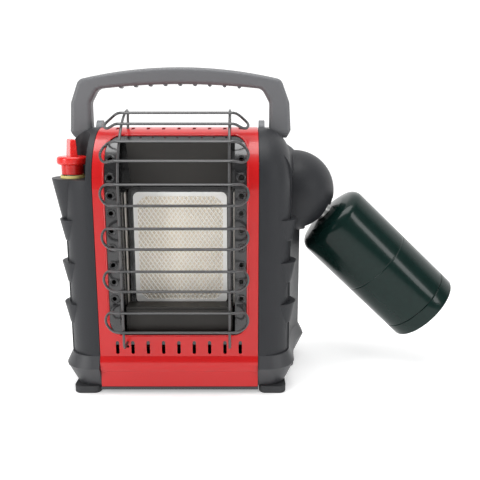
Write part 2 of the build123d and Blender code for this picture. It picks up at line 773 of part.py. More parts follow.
with BuildPart() as lower_shield:
    with BuildSketch(Plane.YZ.offset(-shield_half)):
        with BuildLine():
            front_y = shield_front_y
            Polyline((front_y, recess_bottom_z), (front_y + sheet, recess_bottom_z),
                     (front_y + sheet, shield_top_z - sheet),
                     (front_y + shield_shelf, shield_top_z - sheet),
                     (front_y + shield_shelf, shield_top_z), (front_y, shield_top_z),
                     (front_y, recess_bottom_z))
        make_face()
    extrude(amount=2 * shield_half)
    with BuildSketch(Plane.XZ.offset(-shield_front_y)):
        with Locations((0, (recess_bottom_z + shield_top_z) / 2)):
            bead_width = 2 * shield_half - 4 * sheet
            bead_height = shield_top_z - recess_bottom_z - 6 * sheet
            RectangleRounded(bead_width, bead_height, 2 * sheet)
            RectangleRounded(bead_width - 2 * sheet, bead_height - 2 * sheet, sheet, mode=Mode.SUBTRACT)
    extrude(amount=sheet)
finish(lower_shield, "lower_shield")

# Pilot burner, flame sensor and spark electrode stand in the slot behind the shield's shelf
with BuildPart() as pilot_burner:
    plate_mid_x = (pilot_x + sensor_x) / 2
    with BuildSketch(Plane.XY.offset(recess_bottom_z)):
        with Locations((plate_mid_x, pilot_y)):
            RectangleRounded(sensor_x - pilot_x + 8 * burner_pipe_radius, 6 * burner_pipe_radius,
                             burner_pipe_radius)
        with Locations((pilot_x, pilot_y)):
            Circle(pilot_tube_radius, mode=Mode.SUBTRACT)
        with Locations((spark_x, pilot_y), (sensor_x, pilot_y)):
            Circle(lead_radius + thread_gap, mode=Mode.SUBTRACT)
    extrude(amount=bracket_sheet)
    with Locations((pilot_x, pilot_y, recess_bottom_z + bracket_sheet)):
        Cylinder(1.5 * burner_pipe_radius, flame_z - recess_bottom_z - bracket_sheet,
                 align=(Align.CENTER, Align.CENTER, Align.MIN))
finish(pilot_burner, "pilot_burner")

with BuildPart() as flame_sensor:
    with Locations((sensor_x, pilot_y, recess_bottom_z + bracket_sheet)):
        Cylinder(2 * lead_radius, flame_z - recess_bottom_z - bracket_sheet,
                 align=(Align.CENTER, Align.CENTER, Align.MIN))
    fillet(flame_sensor.edges().group_by(Axis.Z)[-1], lead_radius)
finish(flame_sensor, "flame_sensor")

with BuildPart() as spark_electrode:
    with Locations((spark_x, pilot_y, recess_bottom_z + bracket_sheet)):
        Cylinder(2 * lead_radius, (flame_z - recess_bottom_z) / 2,
                 align=(Align.CENTER, Align.CENTER, Align.MIN))
        Cylinder(lead_radius / 2, flame_z - recess_bottom_z - bracket_sheet,
                 align=(Align.CENTER, Align.CENTER, Align.MIN))
finish(spark_electrode, "spark_electrode")

# Carrying handle: folds back over the rear deck about two pins in the ears
with BuildPart() as handle:
    with BuildSketch(Plane.XZ.offset(-handle_y)):
        with BuildLine():
            crown = ThreePointArc((-grip_corner_x, grip_corner_z), (0, grip_top_z),
                                  (grip_corner_x, grip_corner_z))
            Polyline(crown @ 1, (leg_outer - 2, leg_shoulder_z), (leg_outer, pivot_z),
                     (leg_outer - handle_edge_round, pivot_z - handle_depth / 2),
                     (leg_inner, pivot_z - handle_depth / 2), (leg_inner, leg_shoulder_z),
                     (grip_under_corner_x, grip_under_corner_z))
            under = ThreePointArc((grip_under_corner_x, grip_under_corner_z), (0, grip_under_z),
                                  (-grip_under_corner_x, grip_under_corner_z))
            Polyline(under @ 1, (-leg_inner, leg_shoulder_z), (-leg_inner, pivot_z - handle_depth / 2),
                     (-leg_outer + handle_edge_round, pivot_z - handle_depth / 2),
                     (-leg_outer, pivot_z), (-leg_outer + 2, leg_shoulder_z), crown @ 0)
        make_face()
    extrude(amount=handle_depth / 2, both=True)
    corners = handle.edges().filter_by(Axis.Y)
    grip_corners = corners.filter_by(lambda edge: abs(abs(edge.center().X) - grip_corner_x) < 1)
    fillet(grip_corners, 2 * handle_edge_round)
    under_corners = handle.edges().filter_by(Axis.Y).filter_by(
        lambda edge: abs(abs(edge.center().X) - grip_under_corner_x) < 1
        or abs(edge.center().Z - leg_shoulder_z) < 1)
    fillet(under_corners, 2 * handle_edge_round)
    # the legs end in a round about the pins, so that they clear the shells as the handle folds
    with BuildSketch(Plane.YZ.offset(-leg_outer - 1)):
        with Locations((handle_y, pivot_z)):
            Circle(handle_depth / 2)
        with Locations((handle_y, pivot_z)):
            Rectangle(handle_depth, grip_top_z - pivot_z + 1, align=(Align.CENTER, Align.MIN))
    extrude(amount=2 * leg_outer + 2, mode=Mode.INTERSECT)
    long_edges = handle.edges().filter_by(
        lambda edge: edge.center().Z > leg_shoulder_z - 30 and abs(abs(edge.center().Y - handle_y)
                                                                   - handle_depth / 2) < 0.1)
    fillet(long_edges, handle_edge_round)
    # finger ribs under the grip, and a blind bore in each leg for its pin
    grip_rise = grip_under_z - grip_under_corner_z
    under_radius = (grip_rise**2 + grip_under_corner_x**2) / (2 * grip_rise)
    for index in range(rib_count):
        rib_x = (index - (rib_count - 1) / 2) * rib_pitch
        rib_z = grip_under_z - under_radius + math.sqrt(under_radius**2 - rib_x**2)
        with Locations(Location((rib_x, handle_y, rib_z), (90, 0, 0))):
            Cylinder(rib_radius, handle_depth - 2 * handle_edge_round)
    for side in sides:
        with BuildSketch(Plane.YZ.offset(side * leg_inner)):
            with Locations((handle_y, pivot_z)):
                Circle(pin_radius + turning_fit)
        extrude(amount=side * pin_reach, mode=Mode.SUBTRACT)
finish(handle, "handle")

ear_x = panel_half_width + seam_gap + 1
with BuildPart() as handle_ears:
    for side in sides:
        with BuildSketch(Plane.YZ.offset(side * ear_x)):
            with Locations((handle_y, pivot_z)):
                Circle(ear_radius)
            with Locations((handle_y, deck_z)):
                Rectangle(2 * ear_radius, pivot_z - deck_z, align=(Align.CENTER, Align.MIN))
            with Locations((handle_y, pivot_z)):
                Circle(pin_radius, mode=Mode.SUBTRACT)
        extrude(amount=side * ear_thick)
    # the front block's back wall is close, so the ears are trimmed to it
    with BuildSketch(Plane.XZ.offset(-front_block_back_y)):
        Rectangle(2 * leg_outer, 3 * crest_z)
    extrude(amount=ear_radius, mode=Mode.SUBTRACT)
finish(handle_ears, "handle_ears")

with BuildPart() as handle_pins:
    for side in sides:
        with BuildSketch(Plane.YZ.offset(side * ear_x)):
            with Locations((handle_y, pivot_z)):
                Circle(pin_radius)
        extrude(amount=side * (leg_inner + pin_reach - seam_gap - ear_x))
finish(handle_pins, "handle_pins")

# Guard: loops of bent wire, spaced up the face and over the roll, on two uprights behind them


def guard_place(distance):
    """Plane of a loop at a distance up the guard from the start of its straight run."""
    rise = distance - (roll_z - first_loop_z)
    if rise <= 0:
        origin = (0, face_y - guard_standoff, first_loop_z + distance)
        return Plane(origin=origin, x_dir=(1, 0, 0), z_dir=(0, -1, 0))
    lean = rise / guard_radius
    origin = (0, roll_y - guard_radius * math.cos(lean), roll_z + guard_radius * math.sin(lean))
    return Plane(origin=origin, x_dir=(1, 0, 0), z_dir=(0, -math.cos(lean), math.sin(lean)))


with BuildPart() as guard_loops:
    for index in range(loop_count):
        place = guard_place(loop_pitch * index)
        half = loop_height / 2
        corners = [(-loop_front_half, half, 0), (loop_front_half, half, 0),
                   (loop_half, half, -loop_return), (loop_half, -half, -loop_return),
                   (loop_front_half, -half, 0), (-loop_front_half, -half, 0),
                   (-loop_half, -half, -loop_return), (-loop_half, half, -loop_return)]
        with BuildLine(place) as loop_line:
            FilletPolyline(*corners, radius=loop_bend, close=True)
        with BuildSketch(Plane(origin=loop_line.line @ 0, z_dir=loop_line.line % 0)):
            Circle(wire_radius)
        sweep(path=loop_line.line)
finish(guard_loops, "guard_loops")

upright_y = face_y - guard_standoff + 2 * wire_radius
with BuildLine() as upright_line:
    foot = Line((face_y + panel_sheet, upright_foot_z), (upright_y + upright_bend, upright_foot_z))
    turn = JernArc(foot @ 1, foot % 1, upright_bend, -90)
    rise = Line(turn @ 1, (upright_y, roll_z))
    over = CenterArc((roll_y, roll_z), upright_radius, 180, -upright_sweep)
    drop = JernArc(over @ 1, over % 1, upright_bend, upright_sweep - 180)
    Line(drop @ 1, ((drop @ 1).X, crest_z - panel_sheet))

with BuildPart() as guard_uprights:
    for side in sides:
        route = Plane.YZ.offset(side * upright_x).from_local_coords(upright_line.line)
        with BuildSketch(Plane(origin=route @ 0, z_dir=route % 0)):
            Circle(wire_radius)
        sweep(path=route)
finish(guard_uprights, "guard_uprights")

# Knob, stem and gas valve: the valve hangs from the ledge by its threaded neck
with BuildPart() as gas_valve:
    with Locations((valve_x, knob_y, valve_bottom_z)):
        Box(valve_width, valve_depth, valve_height, align=(Align.CENTER, Align.CENTER, Align.MIN))
    fillet(gas_valve.edges().filter_by(Axis.Z), 2 * sheet)
    chamfer(gas_valve.edges().group_by(Axis.Z)[-1], sheet)
    with Locations((knob_x, knob_y, valve_top_z)):
        Cylinder(valve_neck_radius, ledge_z - valve_top_z,
                 align=(Align.CENTER, Align.CENTER, Align.MIN))
    with Locations((knob_x, knob_y, ledge_z - shell_wall)):
        Cylinder(valve_neck_radius + shell_wall, ledge_z - shell_wall - valve_top_z,
                 align=(Align.CENTER, Align.CENTER, Align.MAX))
    with Locations((knob_x, knob_y, ledge_z)):
        Hole(stem_radius + turning_fit, depth=ledge_z - valve_top_z + stem_bore_depth)
finish(gas_valve, "gas_valve")

with BuildPart() as valve_stem:
    stem_bottom_z = valve_top_z - stem_bore_depth + seam_gap
    with Locations((knob_x, knob_y, stem_bottom_z)):
        Cylinder(stem_radius, stem_top_z - stem_bottom_z,
                 align=(Align.CENTER, Align.CENTER, Align.MIN))
    # flat that makes the knob turn the stem, long enough for the knob's travel
    flat_low_z = knob_flange_z - knob_travel - seam_gap
    with Locations((knob_x, knob_y + stem_radius - sheet, flat_low_z)):
        Box(2 * stem_radius, 2 * stem_radius, stem_top_z - flat_low_z,
            align=(Align.CENTER, Align.MIN, Align.MIN), mode=Mode.SUBTRACT)
finish(valve_stem, "valve_stem")

with BuildPart() as control_knob:
    with BuildSketch(Plane.XZ.offset(-knob_y)):
        with BuildLine():
            Polyline((knob_x, knob_bottom_z), (knob_x + knob_neck_radius, knob_bottom_z),
                     (knob_x + knob_neck_radius, knob_flange_z), (knob_x + knob_radius, knob_flange_z),
                     (knob_x + knob_radius, knob_blade_z), (knob_x, knob_blade_z),
                     (knob_x, knob_bottom_z))
        make_face()
    revolve(axis=Axis((knob_x, knob_y, 0), (0, 0, 1)))
    round_edges = control_knob.edges().filter_by(GeomType.CIRCLE)
    fillet(round_edges.filter_by(lambda edge: edge.radius > knob_radius - 1), 3 * sheet)
    with BuildSketch(Plane.XY.offset(knob_blade_z - sheet)):
        with Locations((knob_x, knob_y)):
            RectangleRounded(blade_width, blade_length, 2 * sheet, rotation=blade_turn)
    extrude(amount=knob_top_z - knob_blade_z + sheet, taper=4)
    fillet(control_knob.faces().sort_by(Axis.Z)[-1].edges(), 2 * sheet)
    # spring recess, then a D-shaped bore for the stem
    with Locations((knob_x, knob_y, knob_bottom_z)):
        Cylinder(spring_radius + 3 * spring_wire, spring_top_z - knob_bottom_z,
                 align=(Align.CENTER, Align.CENTER, Align.MIN), mode=Mode.SUBTRACT)
        Cylinder(stem_radius + turning_fit, knob_flange_z - knob_bottom_z,
                 align=(Align.CENTER, Align.CENTER, Align.MIN), mode=Mode.SUBTRACT)
    with BuildSketch(Plane.XY.offset(knob_flange_z)):
        with Locations((knob_x, knob_y)):
            Circle(stem_radius + turning_fit)
        with Locations((knob_x, knob_y + stem_radius - sheet + turning_fit)):
            Rectangle(4 * stem_radius, 2 * stem_radius, align=(Align.CENTER, Align.MIN),
                      mode=Mode.SUBTRACT)
    extrude(amount=stem_top_z + knob_travel + seam_gap - knob_flange_z, mode=Mode.SUBTRACT)
finish(control_knob, "control_knob")

with BuildPart() as knob_spring:
    spring_low_z = ledge_z + spring_wire
    spring_height = spring_top_z - 2 * spring_wire - ledge_z
    with BuildLine() as coil:
        Helix(spring_height / spring_turns, spring_height, spring_radius,
              center=(knob_x, knob_y, spring_low_z))
    with BuildSketch(Plane(origin=coil.line @ 0, z_dir=coil.line % 0)):
        Circle(spring_wire - 0.05)
    sweep(path=coil.line, is_frenet=True)
finish(knob_spring, "knob_spring")

with BuildPart() as knob_label_ring:
    with BuildSketch(Plane.XY.offset(ledge_z)):
        with Locations((knob_x, knob_y)):
            Circle(knob_neck_radius + seam_gap + label_wall)
            Circle(knob_neck_radius + seam_gap, mode=Mode.SUBTRACT)
    extrude(amount=label_height)
finish(knob_label_ring, "knob_label_ring")

with BuildPart() as piezo_igniter:
    with Locations((valve_x + valve_width / 2 + igniter_radius, knob_y, valve_bottom_z)):
        Cylinder(igniter_radius, igniter_height, align=(Align.CENTER, Align.CENTER, Align.MIN))
    fillet(piezo_igniter.edges().group_by(Axis.Z)[-1], 2 * sheet)
finish(piezo_igniter, "piezo_igniter")

# Regulator: hangs on a pin between the arms of its bracket, inside the hood of the right shell
with BuildPart() as regulator_bracket:
    arm_reach = regulator_radius + arm_gap
    with BuildSketch(Plane.YZ.offset(bracket_x)):
        with Locations((swivel[1], swivel[2])):
            Rectangle(2 * (arm_reach + bracket_sheet), arm_width)
            Rectangle(arm_width, deck_z - shell_wall - swivel[2], align=(Align.CENTER, Align.MIN))
    extrude(amount=bracket_sheet)
    for side in sides:
        arm_y = swivel[1] + side * (arm_reach + bracket_sheet / 2)
        with BuildSketch(Plane.XZ.offset(-arm_y)):
            with Locations((bracket_x, swivel[2])):
                Rectangle(swivel[0] - bracket_x, arm_width, align=(Align.MIN, Align.CENTER))
            with Locations((swivel[0], swivel[2])):
                Circle(arm_width / 2)
                Circle(swivel_pin_radius, mode=Mode.SUBTRACT)
        extrude(amount=bracket_sheet / 2, both=True)
finish(regulator_bracket, "regulator_bracket")

with BuildPart() as swivel_pin:
    pin_reach_y = arm_reach + 2 * bracket_sheet
    with BuildSketch(Plane.XZ.offset(-swivel[1])):
        with Locations((swivel[0], swivel[2])):
            Circle(swivel_pin_radius)
    extrude(amount=pin_reach_y, both=True)
finish(swivel_pin, "swivel_pin")

with BuildPart() as gas_elbow:
    elbow_y = swivel[1] - pin_reach_y
    with Locations((swivel[0], elbow_y, swivel[2])):
        Box(elbow_size, elbow_size, elbow_size, align=(Align.CENTER, Align.MAX, Align.CENTER))
    fillet(gas_elbow.edges().filter_by(Axis.Z), 2 * sheet)
finish(gas_elbow, "gas_elbow")

with BuildPart() as regulator_body:
    with BuildSketch(hang_plane):
        with BuildLine():
            nut_radius = neck_radius + thread_gap + nut_wall
            Polyline((0, regulator_back), (regulator_radius, regulator_back),
                     (regulator_radius, regulator_front), (nut_radius, nut_start),
                     (nut_radius, nut_end), (0, nut_end), (0, regulator_back))
        make_face()
    revolve(axis=hang_line)
    with BuildSketch(hang_plane):
        with Locations((0, nut_start)):
            Rectangle(neck_radius + thread_gap, nut_end, align=(Align.MIN, Align.MIN))
    revolve(axis=hang_line, mode=Mode.SUBTRACT)
    with BuildSketch(Plane.XZ.offset(-swivel[1])):
        with Locations((swivel[0], swivel[2])):
            Circle(swivel_pin_radius + turning_fit)
    extrude(amount=2 * regulator_radius, both=True, mode=Mode.SUBTRACT)
finish(regulator_body, "regulator_body")

with BuildPart() as regulator_cap:
    cap_plane = Plane(origin=swivel, x_dir=(0, 1, 0), z_dir=hang_normal)
    with BuildSketch(cap_plane.offset(cap_base)):
        Circle(cap_radius)
    extrude(amount=cap_height)
    fillet(regulator_cap.edges().filter_by(GeomType.CIRCLE).sort_by(Axis(swivel, hang_normal))[-1],
           4 * sheet)
    with BuildSketch(hang_plane):
        with Locations((0, regulator_back)):
            Rectangle(regulator_radius, nut_start - regulator_back, align=(Align.MIN, Align.MIN))
    revolve(axis=hang_line, mode=Mode.SUBTRACT)
finish(regulator_cap, "regulator_cap")

with BuildPart() as inlet_seal:
    seal_end = cylinder_neck - seam_gap
    with BuildSketch(hang_plane):
        with Locations((neck_radius / 2, nut_start)):
            Rectangle(neck_radius / 2 + thread_gap, seal_end - nut_start, align=(Align.MIN, Align.MIN))
    revolve(axis=hang_line)
finish(inlet_seal, "inlet_seal")

# Propane cylinder: steel tank, threaded collar welded on its crown, valve, and the ring it stands on
foot_ring_start = cylinder_end - foot_ring_depth


def tank_profile(inset):
    """Half outline of the steel cylinder, set in by its wall, beside the hanging axis."""
    radius = cylinder_radius - inset
    seat = radius - foot_ring_wall
    crown_edge = cylinder_radius * 0.6
    bottom = foot_ring_start + foot_ring_depth / 2 - inset
    with BuildSketch(hang_plane) as outline:
        with BuildLine():
            crown = Polyline((0, cylinder_crown + inset), (neck_radius, cylinder_crown + inset),
                             (crown_edge, cylinder_crown + 2 * cylinder_wall + inset))
            shoulder = FilletPolyline(crown @ 1, (radius, cylinder_shoulder),
                                      (radius, foot_ring_start - inset), radius=shoulder_round)
            Polyline(shoulder @ 1, (seat, foot_ring_start - inset), (seat, bottom), (0, bottom),
                     crown @ 0)
        make_face()
    return outline.sketch


bore_radius = neck_radius - cylinder_wall
with BuildPart() as cylinder_shell:
    revolve(tank_profile(0), axis=hang_line)
    revolve(tank_profile(cylinder_wall), axis=hang_line, mode=Mode.SUBTRACT)
    with BuildSketch(hang_plane):
        with Locations((0, cylinder_crown)):
            Rectangle(bore_radius, 2 * cylinder_wall, align=(Align.MIN, Align.CENTER))
    revolve(axis=hang_line, mode=Mode.SUBTRACT)
finish(cylinder_shell, "cylinder_shell")

with BuildPart() as cylinder_collar:
    with BuildSketch(hang_plane):
        with Locations((bore_radius, cylinder_neck)):
            Rectangle(cylinder_wall, cylinder_crown - cylinder_neck, align=(Align.MIN, Align.MIN))
    revolve(axis=hang_line)
finish(cylinder_collar, "cylinder_collar")

with BuildPart() as cylinder_valve:
    with BuildSketch(hang_plane):
        with Locations((0, cylinder_neck + sheet)):
            Rectangle(bore_radius, cylinder_crown - cylinder_neck, align=(Align.MIN, Align.MIN))
        with Locations((0, cylinder_neck + sheet)):
            Rectangle(pin_radius, 4 * sheet, align=(Align.MIN, Align.MIN), mode=Mode.SUBTRACT)
    revolve(axis=hang_line)
finish(cylinder_valve, "cylinder_valve")

with BuildPart() as cylinder_foot_ring:
    with BuildSketch(hang_plane):
        with BuildLine():
            ring_start = foot_ring_start + seam_gap
            Polyline((cylinder_radius - foot_ring_wall, ring_start), (cylinder_radius, ring_start),
                     (cylinder_radius, cylinder_end), (cylinder_radius * 0.75, cylinder_end),
                     (cylinder_radius * 0.75, cylinder_end - foot_ring_wall),
                     (cylinder_radius - foot_ring_wall, cylinder_end - foot_ring_wall),
                     (cylinder_radius - foot_ring_wall, ring_start))
        make_face()
    revolve(axis=hang_line)
    outer_rim = cylinder_foot_ring.edges().filter_by(GeomType.CIRCLE).filter_by(
        lambda edge: edge.radius > cylinder_radius - 0.1)
    fillet(outer_rim.sort_by(hang_line)[-1], foot_ring_wall * 0.9)
finish(cylinder_foot_ring, "cylinder_foot_ring")

# Gas lines and leads
with BuildPart() as supply_pipe:
    elbow_mid_y = elbow_y - elbow_size / 2
    route = [(swivel[0] - elbow_size / 2, elbow_mid_y, swivel[2]),
             (bracket_x + elbow_size, elbow_mid_y, swivel[2]),
             (bracket_x + elbow_size, elbow_mid_y, supply_height_z),
             (valve_x, elbow_mid_y, supply_height_z),
             (valve_x, elbow_mid_y, valve_bottom_z + valve_height / 2),
             (valve_x, knob_y + valve_depth / 2, valve_bottom_z + valve_height / 2)]
    add(tube_along(route, supply_radius, 2.5 * supply_radius).part)
finish(supply_pipe, "supply_pipe")

burner_out_y = knob_y + valve_depth / 4
pilot_out_y = knob_y - valve_depth / 4
with BuildPart() as burner_pipe:
    route = [(valve_x, burner_out_y, valve_bottom_z), (valve_x, burner_out_y, burner_run_z),
             (valve_x, injector_y, burner_run_z), (0, injector_y, burner_run_z),
             (0, injector_y, injector_bottom_z)]
    add(tube_along(route, burner_pipe_radius, 3 * burner_pipe_radius).part)
finish(burner_pipe, "burner_pipe")

with BuildPart() as pilot_tube:
    out_x = valve_x + valve_width / 3
    route = [(out_x, pilot_out_y, valve_bottom_z), (out_x, pilot_out_y, pilot_run_z),
             (pilot_x, pilot_y, pilot_run_z), (pilot_x, pilot_y, recess_bottom_z + bracket_sheet)]
    add(tube_along(route, pilot_tube_radius, 4 * pilot_tube_radius).part)
finish(pilot_tube, "pilot_tube")

with BuildPart() as sensor_lead:
    out_x = valve_x + valve_width / 12
    route = [(out_x, pilot_out_y, valve_bottom_z), (out_x, pilot_out_y, sensor_run_z),
             (sensor_x, pilot_y, sensor_run_z), (sensor_x, pilot_y, recess_bottom_z + bracket_sheet)]
    add(tube_along(route, lead_radius, 5 * lead_radius).part)
finish(sensor_lead, "sensor_lead")

with BuildPart() as ignition_lead:
    out_x = valve_x + valve_width / 2 + igniter_radius
    run_y = pilot_y + 4 * burner_pipe_radius
    route = [(out_x, knob_y, valve_bottom_z), (out_x, knob_y, spark_run_z), (spark_x, run_y, spark_run_z),
             (spark_x, pilot_y, spark_run_z), (spark_x, pilot_y, recess_bottom_z + bracket_sheet)]
    add(tube_along(route, lead_radius, 4 * lead_radius).part)
finish(ignition_lead, "ignition_lead")

# Heat shield: a standing plate between the gas box and the rear cover, on a foot flange
with BuildPart() as heat_shield:
    with BuildSketch(Plane.YZ.offset(-shield_plate_half)):
        with BuildLine():
            Polyline((shield_y, base_top_floor_z), (shield_y, shield_plate_top_z),
                     (shield_y + sheet, shield_plate_top_z), (shield_y + sheet, base_top_floor_z + sheet),
                     (shield_y + elbow_size, base_top_floor_z + sheet),
                     (shield_y + elbow_size, base_top_floor_z), (shield_y, base_top_floor_z))
        make_face()
    extrude(amount=2 * shield_plate_half)
finish(heat_shield, "heat_shield")

# Rear cover: deck, round and back in one moulding, with louvres and bosses for its screws
cover_half = panel_half_width - seam_gap
cover_low_z = skirt_top_z
cover_back_y = back_y
cover_screws = [(side * (cover_half - 2 * boss_radius), height)
                for side in sides for height in (cover_low_z + 4 * boss_radius, tile_mid_z, roll_z)]

with BuildPart() as rear_cover:
    for inset, mode in ((0, Mode.ADD), (cover_sheet, Mode.SUBTRACT)):
        with BuildSketch(Plane.YZ.offset(-cover_half)):
            with BuildLine():
                back = Line((cover_back_y - inset, cover_low_z), (cover_back_y - inset, deck_z - cover_round))
                turn = CenterArc((cover_back_y - cover_round, deck_z - cover_round),
                                 cover_round - inset, 0, 90)
                Polyline(turn @ 1, (crest_end_y - panel_sheet, deck_z - inset),
                         (crest_end_y - panel_sheet, cover_low_z), back @ 0)
            make_face()
        extrude(amount=2 * cover_half, mode=mode)
    with BuildSketch(Plane.XZ.offset(-cover_back_y - 1)):
        with Locations((0, louvre_first_z + louvre_pitch * (louvre_count - 1) / 2)):
            with GridLocations(1, louvre_pitch, 1, louvre_count):
                SlotOverall(louvre_length, louvre_width)
    extrude(amount=2 * cover_sheet, mode=Mode.SUBTRACT)
    with BuildSketch(Plane.XY.offset(deck_z + 1)):
        with Locations((0, (crest_end_y + cover_back_y - cover_round) / 2)):
            with GridLocations(vent_pitch, 1, vent_count, 1):
                SlotOverall(2 * roll_vent_length, louvre_width, rotation=90)
    extrude(amount=-2 * cover_sheet, mode=Mode.SUBTRACT)
    with BuildSketch(Plane.XZ.offset(-cover_back_y)):
        with Locations(*cover_screws):
            Circle(boss_radius)
    extrude(amount=2 * screw_length)
    with BuildSketch(Plane.XZ.offset(-cover_back_y)):
        with Locations(*cover_screws):
            Circle(screw_shank_radius)
    extrude(amount=screw_length, mode=Mode.SUBTRACT)
finish(rear_cover, "rear_cover")

with BuildPart() as cover_screw_set:
    with BuildSketch(Plane.XZ.offset(-cover_back_y)):
        with Locations(*cover_screws):
            Circle(screw_shank_radius)
    extrude(amount=screw_length)
    with BuildSketch(Plane.XZ.offset(-cover_back_y)):
        with Locations(*cover_screws):
            Circle(screw_head_radius)
    extrude(amount=-screw_head_thick)
    fillet(cover_screw_set.edges().filter_by(GeomType.CIRCLE).group_by(Axis.Y)[-1], sheet)
    with BuildSketch(Plane.XZ.offset(-cover_back_y - screw_head_thick)):
        with Locations(*cover_screws):
            Rectangle(screw_head_radius, sheet)
            Rectangle(sheet, screw_head_radius)
    extrude(amount=screw_head_thick / 2, mode=Mode.SUBTRACT)
finish(cover_screw_set, "cover_screws")

# Tip-over switch: a bob hangs in a case on the base floor and swings off its contact
case_mid_z = base_top_floor_z + switch_height / 2
bob_pivot_z = base_top_floor_z + switch_height - 4 * switch_wall
with BuildPart() as tip_switch_case:
    with Locations((switch_x, switch_y, case_mid_z)):
        Box(switch_width, switch_depth, switch_height)
        Box(switch_width - 2 * switch_wall, switch_depth - 2 * switch_wall,
            switch_height - 2 * switch_wall, mode=Mode.SUBTRACT)
    fillet(tip_switch_case.edges().filter_by(Axis.Z).filter_by(
        lambda edge: abs(edge.center().X - switch_x) > switch_width / 2 - 0.1), switch_wall / 2)
    with BuildSketch(Plane.XZ.offset(-switch_y)):
        with Locations((switch_x, bob_pivot_z)):
            Circle(switch_wall)
    extrude(amount=switch_depth / 2 - switch_wall / 2, both=True)
finish(tip_switch_case, "tip_switch_case")

with BuildPart() as tip_bob:
    with BuildSketch(Plane.XZ.offset(-switch_y)):
        with Locations((switch_x, bob_pivot_z)):
            Circle(2 * switch_wall)
        with Locations((switch_x, bob_pivot_z)):
            Rectangle(switch_wall, bob_drop, align=(Align.CENTER, Align.MAX))
        with Locations((switch_x, bob_pivot_z)):
            Circle(switch_wall + turning_fit, mode=Mode.SUBTRACT)
    extrude(amount=switch_wall, both=True)
    with Locations((switch_x, switch_y, bob_pivot_z - bob_drop)):
        Sphere(bob_radius)
finish(tip_bob, "tip_bob")
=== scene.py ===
import math

import bmesh
import bpy
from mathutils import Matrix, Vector
from mathutils.bvhtree import BVHTree


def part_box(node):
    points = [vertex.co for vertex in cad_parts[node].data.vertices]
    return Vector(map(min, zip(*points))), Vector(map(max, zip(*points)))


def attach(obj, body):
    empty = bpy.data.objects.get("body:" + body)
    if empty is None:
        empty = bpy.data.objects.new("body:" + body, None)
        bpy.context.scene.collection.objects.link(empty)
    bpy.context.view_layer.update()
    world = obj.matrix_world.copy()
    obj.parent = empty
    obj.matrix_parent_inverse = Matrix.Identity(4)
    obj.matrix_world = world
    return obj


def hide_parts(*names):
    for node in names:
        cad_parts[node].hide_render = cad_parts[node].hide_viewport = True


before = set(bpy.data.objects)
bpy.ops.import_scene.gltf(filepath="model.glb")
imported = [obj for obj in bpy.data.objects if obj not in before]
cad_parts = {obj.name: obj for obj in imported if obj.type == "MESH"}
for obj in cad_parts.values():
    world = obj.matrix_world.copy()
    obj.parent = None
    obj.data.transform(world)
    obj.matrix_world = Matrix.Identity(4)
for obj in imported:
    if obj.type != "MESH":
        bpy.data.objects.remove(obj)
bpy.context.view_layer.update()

# Floor: a wide sheet of white studio paper that the heater stands on. It isn't part of the heater.
paper_mesh = bpy.data.meshes.new("floor_paper")
paper_reach = 4.0
paper_mesh.from_pydata([(-paper_reach, -paper_reach, 0), (paper_reach, -paper_reach, 0),
                        (paper_reach, paper_reach, 0), (-paper_reach, paper_reach, 0)], [], [(0, 1, 2, 3)])
paper = bpy.data.objects.new("floor_paper", paper_mesh)
bpy.context.scene.collection.objects.link(paper)


class Tone:
    """An output socket of a finish's node tree, written into sums as if it were a number."""

    def __init__(self, tree, socket):
        self.tree = tree
        self.socket = socket

    def node(self, kind, settings=None, sockets=None, output=0):
        """A new node of a type, with its settings first, then the values or links of its sockets."""
        made = self.tree.nodes.new(kind)
        for name, value in (settings or {}).items():
            setattr(made, name, value)
        for name, value in (sockets or {}).items():
            if isinstance(value, Tone):
                self.tree.links.new(value.socket, made.inputs[name])
            else:
                made.inputs[name].default_value = value
        return Tone(self.tree, made.outputs[output])

    def sum(self, operation, first, second=0.0):
        return self.node("ShaderNodeMath", {"operation": operation}, {0: first, 1: second})

    def __add__(self, other):
        return self.sum("ADD", self, other)

    __radd__ = __add__

    def __sub__(self, other):
        return self.sum("SUBTRACT", self, other)

    def __mul__(self, other):
        return self.sum("MULTIPLY", self, other)

    def __gt__(self, other):
        return self.sum("GREATER_THAN", self, other)

    def grain(self, scale, detail=2.0, roughness=0.5):
        """Noise read at this place, from 0 to 1."""
        return self.node("ShaderNodeTexNoise", {},
                         {"Vector": self, "Scale": scale, "Detail": detail, "Roughness": roughness})

    def along(self, letter):
        """One coordinate of this place."""
        return self.node("ShaderNodeSeparateXYZ", {}, {0: self}, output="XYZ".index(letter))

    def blend(self, dark, light):
        """Two colours or tones mixed by this mask."""
        pair = [(*c, 1.0) if isinstance(c, tuple) else c for c in (dark, light)]
        return self.node("ShaderNodeMix", {"data_type": "RGBA"},
                         {0: self, 6: pair[0], 7: pair[1]}, output=2)

    def relief(self, depth, strength):
        """A bump normal with this height, depth in metres."""
        return self.node("ShaderNodeBump", {}, {"Height": self, "Distance": depth, "Strength": strength})


def new_finish(name, **fixed):
    """A material with what is the same all over it set, and the place on the piece to draw on."""
    material = bpy.data.materials.new(name)
    material.use_nodes = True
    shader = material.node_tree.nodes["Principled BSDF"]
    for socket, value in fixed.items():
        shader.inputs[socket.replace("_", " ")].default_value = value
    spot = material.node_tree.nodes.new("ShaderNodeTexCoord")
    return material, Tone(material.node_tree, spot.outputs["Object"])


def vary(material, **tones):
    """Feeds what changes over the surface into a material."""
    shader = material.node_tree.nodes["Principled BSDF"]
    for socket, tone in tones.items():
        material.node_tree.links.new(tone.socket, shader.inputs[socket.replace("_", " ")])


